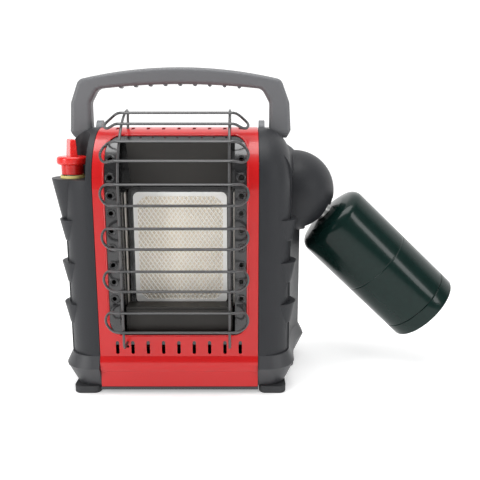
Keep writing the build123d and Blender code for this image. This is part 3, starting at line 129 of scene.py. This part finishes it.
paper_white, place = new_finish("studio_paper", Roughness=0.85, Emission_Color=(1.0, 1.0, 1.0, 1.0),
                                Emission_Strength=0.35)
vary(paper_white, Base_Color=place.grain(3.0).blend((0.90, 0.90, 0.90), (0.93, 0.93, 0.93)))
paper_mesh.materials.append(paper_white)

# Studio: a white backdrop behind and above the heater, a dim room in front of it, one broad lamp
# overhead and a softbox at each side, shown with plain contrast.
bpy.context.scene.view_settings.view_transform = "Standard"
world = bpy.data.worlds.new("studio_room")
bpy.context.scene.world = world
world.use_nodes = True
sky = Tone(world.node_tree, world.node_tree.nodes.new("ShaderNodeTexCoord").outputs["Generated"])
edge_fade = 3.0          # how sharply the backdrop ends
behind_reach = 0.25      # how far it comes round the sides
above_reach = -2.1       # how far it comes over the top
room_light = 0.2
backdrop = sky.sum("MAXIMUM", sky.along("Y") * edge_fade + behind_reach,
                   sky.along("Z") * edge_fade + above_reach)
room = backdrop.node("ShaderNodeClamp", {}, {"Value": backdrop}) + room_light
world.node_tree.nodes["Background"].inputs["Color"].default_value = (1.0, 1.0, 1.0, 1.0)
world.node_tree.links.new(room.socket, world.node_tree.nodes["Background"].inputs["Strength"])

base_low, base_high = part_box("base")
middle = Vector(((base_low[0] + base_high[0]) / 2, (base_low[1] + base_high[1]) / 2, 0.0))


def softbox(name, place_m, aim_m, width, height, watts):
    """A rectangular area lamp at a place, turned to look at a point."""
    lamp = bpy.data.lights.new(name, "AREA")
    lamp.shape = "RECTANGLE"
    lamp.size = width
    lamp.size_y = height
    lamp.energy = watts
    holder = bpy.data.objects.new(name, lamp)
    holder.location = place_m
    holder.rotation_euler = (Vector(aim_m) - Vector(place_m)).to_track_quat("-Z", "Y").to_euler()
    bpy.context.scene.collection.objects.link(holder)


softbox("lamp_overhead", (-0.1, -0.15, 1.35), (-0.05, 0.0, 0.2), width=1.1, height=0.6, watts=11.0)
softbox("lamp_left", (-1.15, -0.95, 0.65), (-0.1, 0.0, 0.15), width=0.35, height=0.9, watts=10.0)
softbox("lamp_right", (1.2, -0.9, 0.75), (-0.1, 0.0, 0.15), width=0.3, height=0.9, watts=6.0)

# Camera: a little above the heater and close to it, looking slightly down at its front.
camera = bpy.data.objects.new("camera", bpy.data.cameras.new("camera"))
camera.data.lens = 46.5
camera.data.sensor_width = 36.0
eye = Vector((0.0717, -0.769, 0.336))
eye_tilt = 77.8
camera.location = middle + eye
camera.rotation_euler = (math.radians(eye_tilt), 0.0, 0.0)
bpy.context.scene.collection.objects.link(camera)
bpy.context.scene.camera = camera

# Body mouldings: base tray, two side shells and rear cover of charcoal polypropylene with a fine
# spark-eroded stipple, screwed together round the sheet-metal front. The skirt's grey is painted lighter
# for the light it catches, and the carrying handle, which turns on two pins in the ears, is painted a
# lighter grey for the light that falls on its faces.


def wear(finish, *nodes):
    """Gives a finish to CAD pieces whose shapes stay as they are."""
    for node in nodes:
        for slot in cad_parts[node].material_slots:
            slot.material = finish


for name, shine, dark, light, worn_by in (
        ("charcoal_moulding", 0.25, (0.013, 0.014, 0.016), (0.028, 0.029, 0.033),
         ("left_shell", "right_shell", "rear_cover")),
        # the skirt's lighter grey is painted light, for the light its upward band catches
        ("charcoal_skirt", 0.45, (0.026, 0.027, 0.030), (0.046, 0.047, 0.051), ("base",)),
        # the handle's lighter grey is painted light, for the light that falls on it
        ("graphite_handle", 0.45, (0.104, 0.106, 0.112), (0.145, 0.148, 0.155), ("handle",))):
    moulding, place = new_finish(name, Specular_IOR_Level=shine)
    stipple = place.grain(1500.0, 3.0, 0.6)
    cloud = place.grain(14.0, 3.0)
    vary(moulding, Base_Color=(stipple * 0.7 + cloud * 0.3).blend(dark, light),
         Roughness=0.36 + stipple * 0.14 + cloud * 0.06,
         Normal=stipple.relief(0.00022, 0.7))
    wear(moulding, *worn_by)

# Feet: four dark rubber blocks under the corners of the base, pushed on to moulded studs, that keep
# the hot body off the ground and stop it sliding.
foot_rubber, place = new_finish("foot_rubber", Roughness=0.8)
speck = place.grain(700.0, 2.0)
vary(foot_rubber, Base_Color=speck.blend((0.024, 0.025, 0.027), (0.040, 0.041, 0.044)),
     Normal=speck.relief(0.0001, 0.5))
wear(foot_rubber, "feet")

# Front panel: pressed steel sheet, powder-coated gloss red and rolled back over the top, held between
# the two side shells.
red_coat, place = new_finish("red_powder_coat", Coat_Weight=0.3, Coat_Roughness=0.06,
                              Specular_IOR_Level=0.3)
peel = place.grain(420.0, 2.0, 0.4)
flow = place.grain(9.0, 2.0)
vary(red_coat, Base_Color=flow.blend((0.46, 0.005, 0.006), (0.53, 0.007, 0.008)),
     Roughness=0.26 + peel * 0.06,
     Normal=peel.relief(0.00006, 0.35))
wear(red_coat, "front_panel")

# Heat box: the reflector pan and the burner's frame, pressed steel with glossy black glass enamel
# fired on, fixed behind the window of the panel.
enamel, place = new_finish("black_enamel", Coat_Weight=0.35, Coat_Roughness=0.04)
wave = place.grain(60.0, 2.0)
vary(enamel, Base_Color=wave.blend((0.010, 0.010, 0.011), (0.020, 0.020, 0.021)),
     Roughness=0.16 + wave * 0.08,
     Normal=wave.relief(0.0004, 0.25))
wear(enamel, "reflector", "burner_frame")

# Baffles: folded steel plates over and under the burner, fixed in the reflector pan and dulled by the
# heat to a dark warm grey.
baffle, place = new_finish("heat_dulled_steel", Metallic=0.6)
haze = place.grain(22.0, 4.0, 0.6)
brush = place.grain(300.0, 2.0)
vary(baffle, Base_Color=haze.blend((0.018, 0.017, 0.016), (0.038, 0.036, 0.033)),
     Roughness=0.38 + haze * 0.12,
     Normal=brush.relief(0.00005, 0.3))
wear(baffle, "deflector_hood", "lower_shield")

# Burner face: a porous cream tile with rows of flame holes, behind a diamond mesh of stainless
# strip; a white ceramic-fibre gasket with cut corners is clamped over the edges of both.
tile_clay, place = new_finish("porous_tile", Roughness=0.9)
hole_pitch = 0.0022
hole_share = 0.35
across, down = (place.sum("SINE", place.along(letter) * (2 * math.pi / hole_pitch)) for letter in "XZ")
# The flame holes are painted a dark brown for the shade inside them; the same mask also sinks them as bumps.
shaded_holes = (across * down) > hole_share
warmth = place.grain(30.0, 3.0)
clay = warmth.blend((0.86, 0.78, 0.65), (0.94, 0.89, 0.80))
vary(tile_clay, Base_Color=shaded_holes.blend(clay, (0.60, 0.48, 0.32)),
     Normal=shaded_holes.relief(-0.0006, 0.6))
wear(tile_clay, "ceramic_tile")

fibre, place = new_finish("fibre_gasket", Roughness=0.95)
fluff = place.grain(900.0, 4.0, 0.7)
vary(fibre, Base_Color=fluff.blend((0.88, 0.87, 0.84), (0.96, 0.95, 0.93)),
     Normal=fluff.relief(0.0004, 0.6))
wear(fibre, "burner_gasket")

bent_wire = bpy.data.node_groups.new("bent_wire", "GeometryNodeTree")
for name, kind in (("Route", "NodeSocketGeometry"), ("Wire radius", "NodeSocketFloat"),
                   ("Bend radius", "NodeSocketFloat"), ("Coat", "NodeSocketMaterial")):
    bent_wire.interface.new_socket(name, in_out="INPUT", socket_type=kind)
bent_wire.interface.new_socket("Wire", in_out="OUTPUT", socket_type="NodeSocketGeometry")


def add_step(tree, kind, settings=None, sockets=None):
    """A node of a Geometry Nodes tree, with its settings, then the values or links of its sockets."""
    step = tree.nodes.new(kind)
    for name, value in (settings or {}).items():
        setattr(step, name, value)
    for name, value in (sockets or {}).items():
        if isinstance(value, bpy.types.NodeSocket):
            tree.links.new(value, step.inputs[name])
        else:
            step.inputs[name].default_value = value
    return step


given = bent_wire.nodes.new("NodeGroupInput").outputs
route = add_step(bent_wire, "GeometryNodeMeshToCurve", {}, {"Mesh": given["Route"]})
steps_per_bend = 7
wire_sides = 14
bend = add_step(bent_wire, "GeometryNodeFilletCurve", {"mode": "POLY"},
                {"Curve": route.outputs[0], "Radius": given["Bend radius"], "Limit Radius": True,
                 "Count": steps_per_bend})
section = add_step(bent_wire, "GeometryNodeCurvePrimitiveCircle", {},
                   {"Resolution": wire_sides, "Radius": given["Wire radius"]})
rod = add_step(bent_wire, "GeometryNodeCurveToMesh", {},
               {"Curve": bend.outputs[0], "Profile Curve": section.outputs[0], "Fill Caps": True})
soft = add_step(bent_wire, "GeometryNodeSetShadeSmooth", {}, {"Geometry": rod.outputs[0]})
whole = add_step(bent_wire, "GeometryNodeRealizeInstances", {}, {"Geometry": soft.outputs[0]})
coated = add_step(bent_wire, "GeometryNodeSetMaterial", {},
                  {"Geometry": whole.outputs[0], "Material": given["Coat"]})
bent_wire.links.new(coated.outputs[0], bent_wire.nodes.new("NodeGroupOutput").inputs[0])


def grow(name, starting_mesh, tree, **inputs):
    """Runs a Geometry Nodes tree on a mesh and keeps what it makes as a plain piece."""
    seed = bpy.data.objects.new(name + "_seed", starting_mesh)
    bpy.context.scene.collection.objects.link(seed)
    growing = seed.modifiers.new("grow", "NODES")
    growing.node_group = tree
    for item in tree.interface.items_tree:
        key = item.name.lower().replace(" ", "_")
        if item.in_out == "INPUT" and key in inputs:
            growing[item.identifier] = inputs[key]
    seen = seed.evaluated_get(bpy.context.evaluated_depsgraph_get())
    piece = bpy.data.objects.new(name, bpy.data.meshes.new_from_object(seen))
    bpy.data.objects.remove(seed)
    bpy.context.scene.collection.objects.link(piece)
    return piece


strip_steel, place = new_finish("stainless_strip", Metallic=0.1)
straw = place.grain(60.0, 3.0)
vary(strip_steel, Base_Color=straw.blend((0.90, 0.87, 0.79), (0.96, 0.94, 0.90)),
     Roughness=0.42 + straw * 0.2)
mesh_low, mesh_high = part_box("burner_mesh")
mesh_middle = (Vector(mesh_low) + Vector(mesh_high)) / 2
strip_radius = 0.00068
mesh_edge = 0.0006         # strips stop this far inside the mesh's edge
mesh_half_x = (mesh_high[0] - mesh_low[0]) / 2 - mesh_edge
mesh_half_z = (mesh_high[2] - mesh_low[2]) / 2 - mesh_edge
strip_pitch = 0.0044
strip_lean = 55
layer_shift = 0.00022      # one set of strips lies behind the other
strips_each_side = 28
shortest_strip = 0.002
mesh_lines = bmesh.new()
for way_round in (-1, 1):
    lean = way_round * strip_lean
    run_x = math.cos(math.radians(lean))
    run_z = math.sin(math.radians(lean))
    for number in range(-strips_each_side, strips_each_side + 1):
        start_x = -run_z * strip_pitch * number
        start_z = run_x * strip_pitch * number
        reach = [sorted(((side - start) / run_along for side in (-half, half)))
                 for start, run_along, half in ((start_x, run_x, mesh_half_x),
                                                (start_z, run_z, mesh_half_z))]
        low, high = max(reach[0][0], reach[1][0]), min(reach[0][1], reach[1][1])
        if high - low > shortest_strip:
            ends = [mesh_lines.verts.new(mesh_middle + Vector((
                start_x + run_x * spot, way_round * layer_shift, start_z + run_z * spot)))
                    for spot in (low, high)]
            mesh_lines.edges.new(ends)
line_mesh = bpy.data.meshes.new("mesh_lines")
mesh_lines.to_mesh(line_mesh)
diamond_mesh = grow("burner_diamond_mesh", line_mesh, bent_wire, wire_radius=strip_radius,
                    bend_radius=0.0001, coat=strip_steel)
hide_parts("burner_mesh")
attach(diamond_mesh, "root")

# Corner blocks: two folded steel tabs at the feet of the reflector's side strips, spot-welded on
# and enamelled with it, that stiffen the pan where the guard's hooks pull on the panel.


def plate(name, outline, place_m, across_way, up_way, thick, round_off, finish):
    """Flat piece with eased edges: (across, up) pairs, made solid along the third way."""
    out_way = across_way.cross(up_way)
    build = bmesh.new()
    foot = [build.verts.new(place_m + across_way * x + up_way * z) for x, z in outline]
    face = build.faces.new(foot)
    lifted = bmesh.ops.extrude_face_region(build, geom=[face])
    bmesh.ops.translate(build, vec=out_way * thick,
                        verts=[v for v in lifted["geom"] if isinstance(v, bmesh.types.BMVert)])
    bmesh.ops.recalc_face_normals(build, faces=build.faces)
    bmesh.ops.bevel(build, geom=list(build.edges), offset=round_off, segments=3, affect="EDGES", profile=0.5)
    for face in build.faces:
        face.smooth = True
    mesh = bpy.data.meshes.new(name)
    build.to_mesh(mesh)
    mesh.materials.append(finish)
    piece = bpy.data.objects.new(name, mesh)
    bpy.context.scene.collection.objects.link(piece)
    return piece


tab_corners = ((0.0672, 0.111), (0.0752, 0.111), (0.0796, 0.102), (0.0796, 0.089), (0.0775, 0.086),
               (0.0672, 0.086))
tab_y = -0.0829
tab_thick = 0.0016
tab_round = 0.0005
for side, word in ((-1, "left"), (1, "right")):
    tab_outline = [(x * side, z) for x, z in tab_corners]
    tab = plate("corner_tab_" + word, tab_outline[::side], middle + Vector((0, tab_y, 0)),
                Vector((1, 0, 0)), Vector((0, 0, 1)), tab_thick, tab_round, enamel)
    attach(tab, "root")

# Steel parts: the bright pilot, sensor and heat shield, and the strips beside the burner, matte steel whose
# pale warm grey is partly its own colour and partly a painted reflection of the cream tile.
bright, place = new_finish("bright_rolled_steel", Metallic=0.9)
rolling = (40.0, 40.0, 1200.0)
draw = place.node("ShaderNodeMapping", {}, {"Vector": place, "Scale": rolling}).grain(1.0, 3.0)
vary(bright, Base_Color=draw.blend((0.50, 0.49, 0.47), (0.66, 0.65, 0.63)),
     Roughness=0.28 + draw * 0.16, Normal=draw.relief(0.00004, 0.3))
wear(bright, "pilot_burner", "flame_sensor", "heat_shield")

strip_painted_reflection, place = new_finish("heat_greyed_strip", Metallic=0.2)
scale_marks = place.grain(40.0, 4.0, 0.6)
# The strips' pale warm grey is partly the steel's own and partly painted reflection of the tile beside them.
vary(strip_painted_reflection, Base_Color=scale_marks.blend((0.50, 0.47, 0.43), (0.66, 0.62, 0.57)),
     Roughness=0.55 + scale_marks * 0.15)
wear(strip_painted_reflection, "side_reflectors")

zinc, place = new_finish("zinc_plate", Metallic=1.0)
bloom = place.grain(90.0, 3.0)
vary(zinc, Base_Color=bloom.blend((0.45, 0.46, 0.47), (0.62, 0.62, 0.60)), Roughness=0.30 + bloom * 0.2)
wear(zinc, "burner_plenum", "mixer_tube", "injector_bracket", "regulator_bracket", "cover_screws",
     "handle_pins", "knob_spring", "cylinder_collar")

brass, place = new_finish("machined_brass", Metallic=1.0)
lathe_marks = place.grain(500.0, 2.0)
vary(brass, Base_Color=lathe_marks.blend((0.50, 0.36, 0.14), (0.66, 0.50, 0.22)),
     Roughness=0.25 + lathe_marks * 0.15)
wear(brass, "injector", "valve_stem", "swivel_pin", "gas_elbow", "cylinder_valve", "tip_bob")

copper, place = new_finish("drawn_copper", Metallic=1.0)
tarnish = place.grain(60.0, 3.0)
vary(copper, Base_Color=tarnish.blend((0.36, 0.16, 0.09), (0.62, 0.32, 0.20)),
     Roughness=0.25 + tarnish * 0.25)
wear(copper, "supply_pipe", "burner_pipe", "pilot_tube", "sensor_lead")

cast, place = new_finish("cast_alloy", Metallic=0.9)
skin = place.grain(350.0, 3.0)
vary(cast, Base_Color=skin.blend((0.30, 0.30, 0.31), (0.46, 0.46, 0.47)), Roughness=0.40 + skin * 0.15,
     Normal=skin.relief(0.0001, 0.4))
wear(cast, "gas_valve", "regulator_body", "regulator_cap")

grey_moulding, place = new_finish("grey_moulding", Roughness=0.45)
dust = place.grain(800.0, 2.0)
vary(grey_moulding, Base_Color=dust.blend((0.17, 0.18, 0.19), (0.24, 0.25, 0.26)),
     Normal=dust.relief(0.0001, 0.4))
wear(grey_moulding, "handle_ears", "piezo_igniter", "tip_switch_case")

black_rubber, place = new_finish("black_rubber", Roughness=0.6)
nap = place.grain(600.0, 2.0)
vary(black_rubber, Base_Color=nap.blend((0.012, 0.012, 0.012), (0.025, 0.025, 0.025)))
wear(black_rubber, "inlet_seal", "ignition_lead")

porcelain, place = new_finish("white_porcelain", Coat_Weight=1.0, Roughness=0.2)
glaze = place.grain(200.0, 2.0)
vary(porcelain, Base_Color=glaze.blend((0.74, 0.73, 0.70), (0.82, 0.81, 0.79)))
wear(porcelain, "spark_electrode")

# Knob: glossy red ABS on a D-shaped stem, over a yellow collar that stands on the ledge.
red_gloss, place = new_finish("red_gloss_plastic", Coat_Weight=0.15, Coat_Roughness=0.08)
sheen = place.grain(200.0, 2.0)
vary(red_gloss, Base_Color=sheen.blend((0.62, 0.008, 0.006), (0.70, 0.012, 0.009)),
     Roughness=0.24 + sheen * 0.06)
wear(red_gloss, "control_knob")

yellow_collar, place = new_finish("yellow_collar", Roughness=0.4)
tint = place.grain(300.0, 2.0)
vary(yellow_collar, Base_Color=tint.blend((0.90, 0.74, 0.24), (0.95, 0.82, 0.33)))
wear(yellow_collar, "knob_label_ring")

# Fuel cylinder: two deep-drawn cups of 1 mm steel welded round the girth, dark green gloss enamel
# all over, with a pressed ring at its foot to stand on; the threaded collar on its crown is bare.
green_gloss, place = new_finish("green_gloss_enamel", Coat_Weight=0.12, Coat_Roughness=0.03,
                                Specular_IOR_Level=0.18)
run = place.grain(160.0, 2.0)
vary(green_gloss, Base_Color=run.blend((0.0022, 0.011, 0.009), (0.0040, 0.018, 0.015)),
     Roughness=0.18 + run * 0.05, Normal=run.relief(0.00005, 0.25))

hang_start = middle + Vector((0.1456, 0.033, 0.234))
hang_turn = math.radians(43.5)
hang_way = Vector((math.cos(hang_turn), 0, -math.sin(hang_turn)))


def eased(corners, radii, steps=8):
    """Outline with each corner rounded by its own radius."""
    points = []
    count = len(corners)
    for number, corner in enumerate(corners):
        here = Vector(corner)
        back = Vector(corners[number - 1]) - here
        ahead = Vector(corners[(number + 1) % count]) - here
        radius = radii[number]
        if not radius:
            points.append(here)
            continue
        half = back.angle(ahead) / 2
        reach = min(radius / math.tan(half), back.length * 0.49, ahead.length * 0.49)
        radius = reach * math.tan(half)
        hub = here + (back.normalized() + ahead.normalized()).normalized() * radius / math.sin(half)
        start = here + back.normalized() * reach - hub
        end = here + ahead.normalized() * reach - hub
        sweep = start.angle_signed(end)
        for step in range(steps + 1):
            turn = -sweep * step / steps
            points.append(hub + Vector((start.x * math.cos(turn) - start.y * math.sin(turn),
                                        start.x * math.sin(turn) + start.y * math.cos(turn))))
    return points


def turned(name, outline, start, way, finish, parts=112):
    """Closed piece of revolution: an outline of (radius, distance along the way) pairs, spun."""
    side = way.orthogonal().normalized()
    other = way.cross(side)
    build = bmesh.new()
    rings = []
    for radius, run_along in outline:
        hub = start + way * run_along
        if radius < 1e-6:
            rings.append([build.verts.new(hub)])
        else:
            rings.append([build.verts.new(hub + (side * math.cos(2 * math.pi * step / parts)
                                                 + other * math.sin(2 * math.pi * step / parts)) * radius)
                          for step in range(parts)])
    for first, second in zip(rings, rings[1:] + rings[:1]):
        for step in range(parts):
            after = (step + 1) % parts
            corners = [first[step % len(first)], first[after % len(first)],
                       second[after % len(second)], second[step % len(second)]]
            corners = list(dict.fromkeys(corners))
            if len(corners) > 2:
                build.faces.new(corners)
    bmesh.ops.recalc_face_normals(build, faces=build.faces)
    for face in build.faces:
        face.smooth = True
    mesh = bpy.data.meshes.new(name)
    build.to_mesh(mesh)
    mesh.materials.append(finish)
    piece = bpy.data.objects.new(name, mesh)
    bpy.context.scene.collection.objects.link(piece)
    return piece


cylinder_corners = [(0, 0.0507), (0.0127, 0.0507), (0.0297, 0.0526), (0.0495, 0.0582),
                    (0.0495, 0.0800), (0.0495, 0.1440), (0.0495, 0.1449), (0.0492, 0.1452), (0.0492, 0.1458),
                    (0.0495, 0.1461), (0.0495, 0.1470), (0.0495, 0.2172), (0.0495, 0.2185), (0.0479, 0.2190),
                    (0.0479, 0.2270), (0, 0.2270)]
cylinder_outline = eased(cylinder_corners, (0, 0.001, 0.014, 0.014, 0, 0, 0, 0.0002, 0.0002, 0, 0, 0,
                                            0.0008, 0.0004, 0.0010, 0), 10)
tank = turned("cylinder_tank", [tuple(p) for p in cylinder_outline], hang_start, hang_way, green_gloss)
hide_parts("cylinder_shell")
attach(tank, "cylinder")

foot_corners = [(0.0481, 0.2193), (0.0495, 0.2193), (0.0495, 0.2380), (0.0371, 0.2380), (0.0371, 0.2364),
                (0.0481, 0.2364)]
foot_radii = (0.0003, 0.0008, 0.0022, 0.0007, 0.0007, 0.0010)
foot_outline = eased(foot_corners, foot_radii, 6)
foot_ring = turned("cylinder_stand_ring", [tuple(spot) for spot in foot_outline], hang_start, hang_way,
                   green_gloss)
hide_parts("cylinder_foot_ring")
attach(foot_ring, "cylinder")

# Window lip: the edge of the panel's window is rolled back on itself, so that no raw edge of the
# sheet shows; it is part of the pressed panel and has its powder coat.
face_y = -0.084
roll_radius = 0.066
roll_middle_y = face_y + roll_radius
roll_middle_z = 0.245
window_corners = [(-0.0805, 0.073), (0.0805, 0.073), (0.0805, 0.304), (-0.0805, 0.304)]
window_radius = 0.016
lip_radius = 0.0011
lip_step = 0.005
lip_sink = 0.0005          # the lip's line lies this far behind the panel's face
window_edge = [tuple(spot) for spot in eased(window_corners, (window_radius,) * 4, 8)]
lip_lines = bmesh.new()
lip_spots = []
for first, second in zip(window_edge, window_edge[1:] + window_edge[:1]):
    pieces = max(1, round((Vector(second) - Vector(first)).length / lip_step))
    for piece in range(pieces):
        x, z = Vector(first).lerp(Vector(second), piece / pieces)
        lean = math.asin(max(0.0, z - roll_middle_z) / roll_radius)
        depth = roll_radius - lip_sink
        lip_spots.append(lip_lines.verts.new(middle + Vector((
            x, roll_middle_y - depth * math.cos(lean), min(z, roll_middle_z) + depth * math.sin(lean)))))
for first, second in zip(lip_spots, lip_spots[1:] + lip_spots[:1]):
    lip_lines.edges.new((first, second))
lip_mesh = bpy.data.meshes.new("window_lip_line")
lip_lines.to_mesh(lip_mesh)
lip = grow("window_lip", lip_mesh, bent_wire, wire_radius=lip_radius, bend_radius=0.0003,
           coat=red_coat)
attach(lip, "root")

# Skirt screws: two small dark pan-head screws in each side of the base, a little behind its front
# corner and one over the other, that hold the base to the side shells.
black_zinc, place = new_finish("black_zinc_screw", Metallic=0.8)
film = place.grain(900.0, 2.0)
vary(black_zinc, Base_Color=film.blend((0.010, 0.010, 0.011), (0.026, 0.026, 0.028)),
     Roughness=0.3 + film * 0.2)
skirt = BVHTree.FromObject(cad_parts["base"], bpy.context.evaluated_depsgraph_get())
screw_outline = [(0, -0.0006), (0.0024, -0.0006), (0.0024, 0.0004), (0.0019, 0.0009), (0.0008, 0.0010),
                 (0.0007, 0.0002), (0, 0.0002)]
screw_heights = (0.020, 0.030)
aim_x = 0.150              # a slanting line from beside the corner finds the skirt's side face
aim_y = -0.125
aim_inward = 0.25
screw_parts = 24
for side, word in ((-1, "left"), (1, "right")):
    for number, height in enumerate(screw_heights):
        start = middle + Vector((side * aim_x, aim_y, height))
        aim = Vector((-side * aim_inward, 1.0, 0)).normalized()
        spot, normal = skirt.ray_cast(start, aim)[:2]
        screw = turned("skirt_screw_%s_%d" % (word, number), screw_outline, spot, normal, black_zinc,
                       screw_parts)
        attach(screw, "root")

# Guard: six closed loops of 3 mm drawn steel wire, bent back at the sides, spot-welded on two
# upright wires that hook into the panel below the window and above it; all dipped satin black.
wire_coat, place = new_finish("satin_black_wire", Coat_Weight=0.3)
dip = place.grain(420.0, 2.0)
vary(wire_coat, Base_Color=dip.blend((0.036, 0.036, 0.037), (0.060, 0.060, 0.062)),
     Roughness=0.30 + dip * 0.14, Normal=dip.relief(0.00006, 0.4))

wire_radius = 0.0015
guard_reach = 0.090
loop_rise = 0.0115
loop_straight = 0.0695
loop_count = 6
loop_pitch = 0.0482
lowest_loop_z = 0.0975
near_end_stations = (0.058, 0.061, 0.064, 0.067)
end_turn_step = 12
sweep_start = 0.064        # the ends bend back towards the panel from here
sweep_length = 0.017
sweep_depth = 0.009
loop_lines = bmesh.new()
for number in range(loop_count):
    up = loop_pitch * number - (roll_middle_z - lowest_loop_z)
    lean = max(0.0, up / guard_reach)
    centre = Vector((0, roll_middle_y - guard_reach * math.cos(lean),
                     roll_middle_z + guard_reach * math.sin(lean) if lean else roll_middle_z + up))
    upward = Vector((0, math.sin(lean), math.cos(lean)))
    inward = Vector((0, math.cos(lean), -math.sin(lean)))
    corners = []
    for side in (1, -1):
        way = [(station * side, loop_rise * side) for station in near_end_stations]
        way += [(side * (loop_straight + loop_rise * math.sin(math.radians(turn))),
                 side * loop_rise * math.cos(math.radians(turn)))
                for turn in range(0, 181, end_turn_step)]
        way += [(station * side, -loop_rise * side) for station in reversed(near_end_stations)]
        for across, rise in way:
            swept = max(0.0, (abs(across) - sweep_start) / sweep_length)
            eased_sweep = sweep_depth * swept * swept * (3 - 2 * swept)
            corners.append(loop_lines.verts.new(
                middle + centre + Vector((across, 0, 0)) + upward * rise + inward * eased_sweep))
    for first, second in zip(corners, corners[1:] + corners[:1]):
        loop_lines.edges.new((first, second))
loop_mesh = bpy.data.meshes.new("guard_loop_lines")
loop_lines.to_mesh(loop_mesh)
loops = grow("guard_wire_loops", loop_mesh, bent_wire, wire_radius=wire_radius, bend_radius=0.0005,
             coat=wire_coat)
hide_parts("guard_loops")
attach(loops, "root")

upright_lines = bmesh.new()
upright_reach = guard_reach - 2 * wire_radius
upright_x = 0.060
hook_end_y = -0.0828
hook_z = 0.065
top_turn = 82
turn_step = 3
top_hook = (0.0060, 0.0005)
top_end = (-0.0288, 0.3098)
for x in (-upright_x, upright_x):
    way = [(hook_end_y, hook_z), (roll_middle_y - upright_reach, hook_z)]
    way += [(roll_middle_y - upright_reach * math.cos(math.radians(turn)),
             roll_middle_z + upright_reach * math.sin(math.radians(turn)))
            for turn in range(0, top_turn, turn_step)]
    last_y, last_z = way[-1]
    way += [(last_y + top_hook[0], last_z + top_hook[1]), top_end]
    spots = [upright_lines.verts.new(middle + Vector((x, y, z))) for y, z in way]
    for first, second in zip(spots, spots[1:]):
        upright_lines.edges.new((first, second))
upright_mesh = bpy.data.meshes.new("guard_upright_lines")
upright_lines.to_mesh(upright_mesh)
uprights = grow("guard_wire_uprights", upright_mesh, bent_wire, wire_radius=wire_radius, bend_radius=0.006,
                coat=wire_coat)
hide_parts("guard_uprights")
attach(uprights, "root")
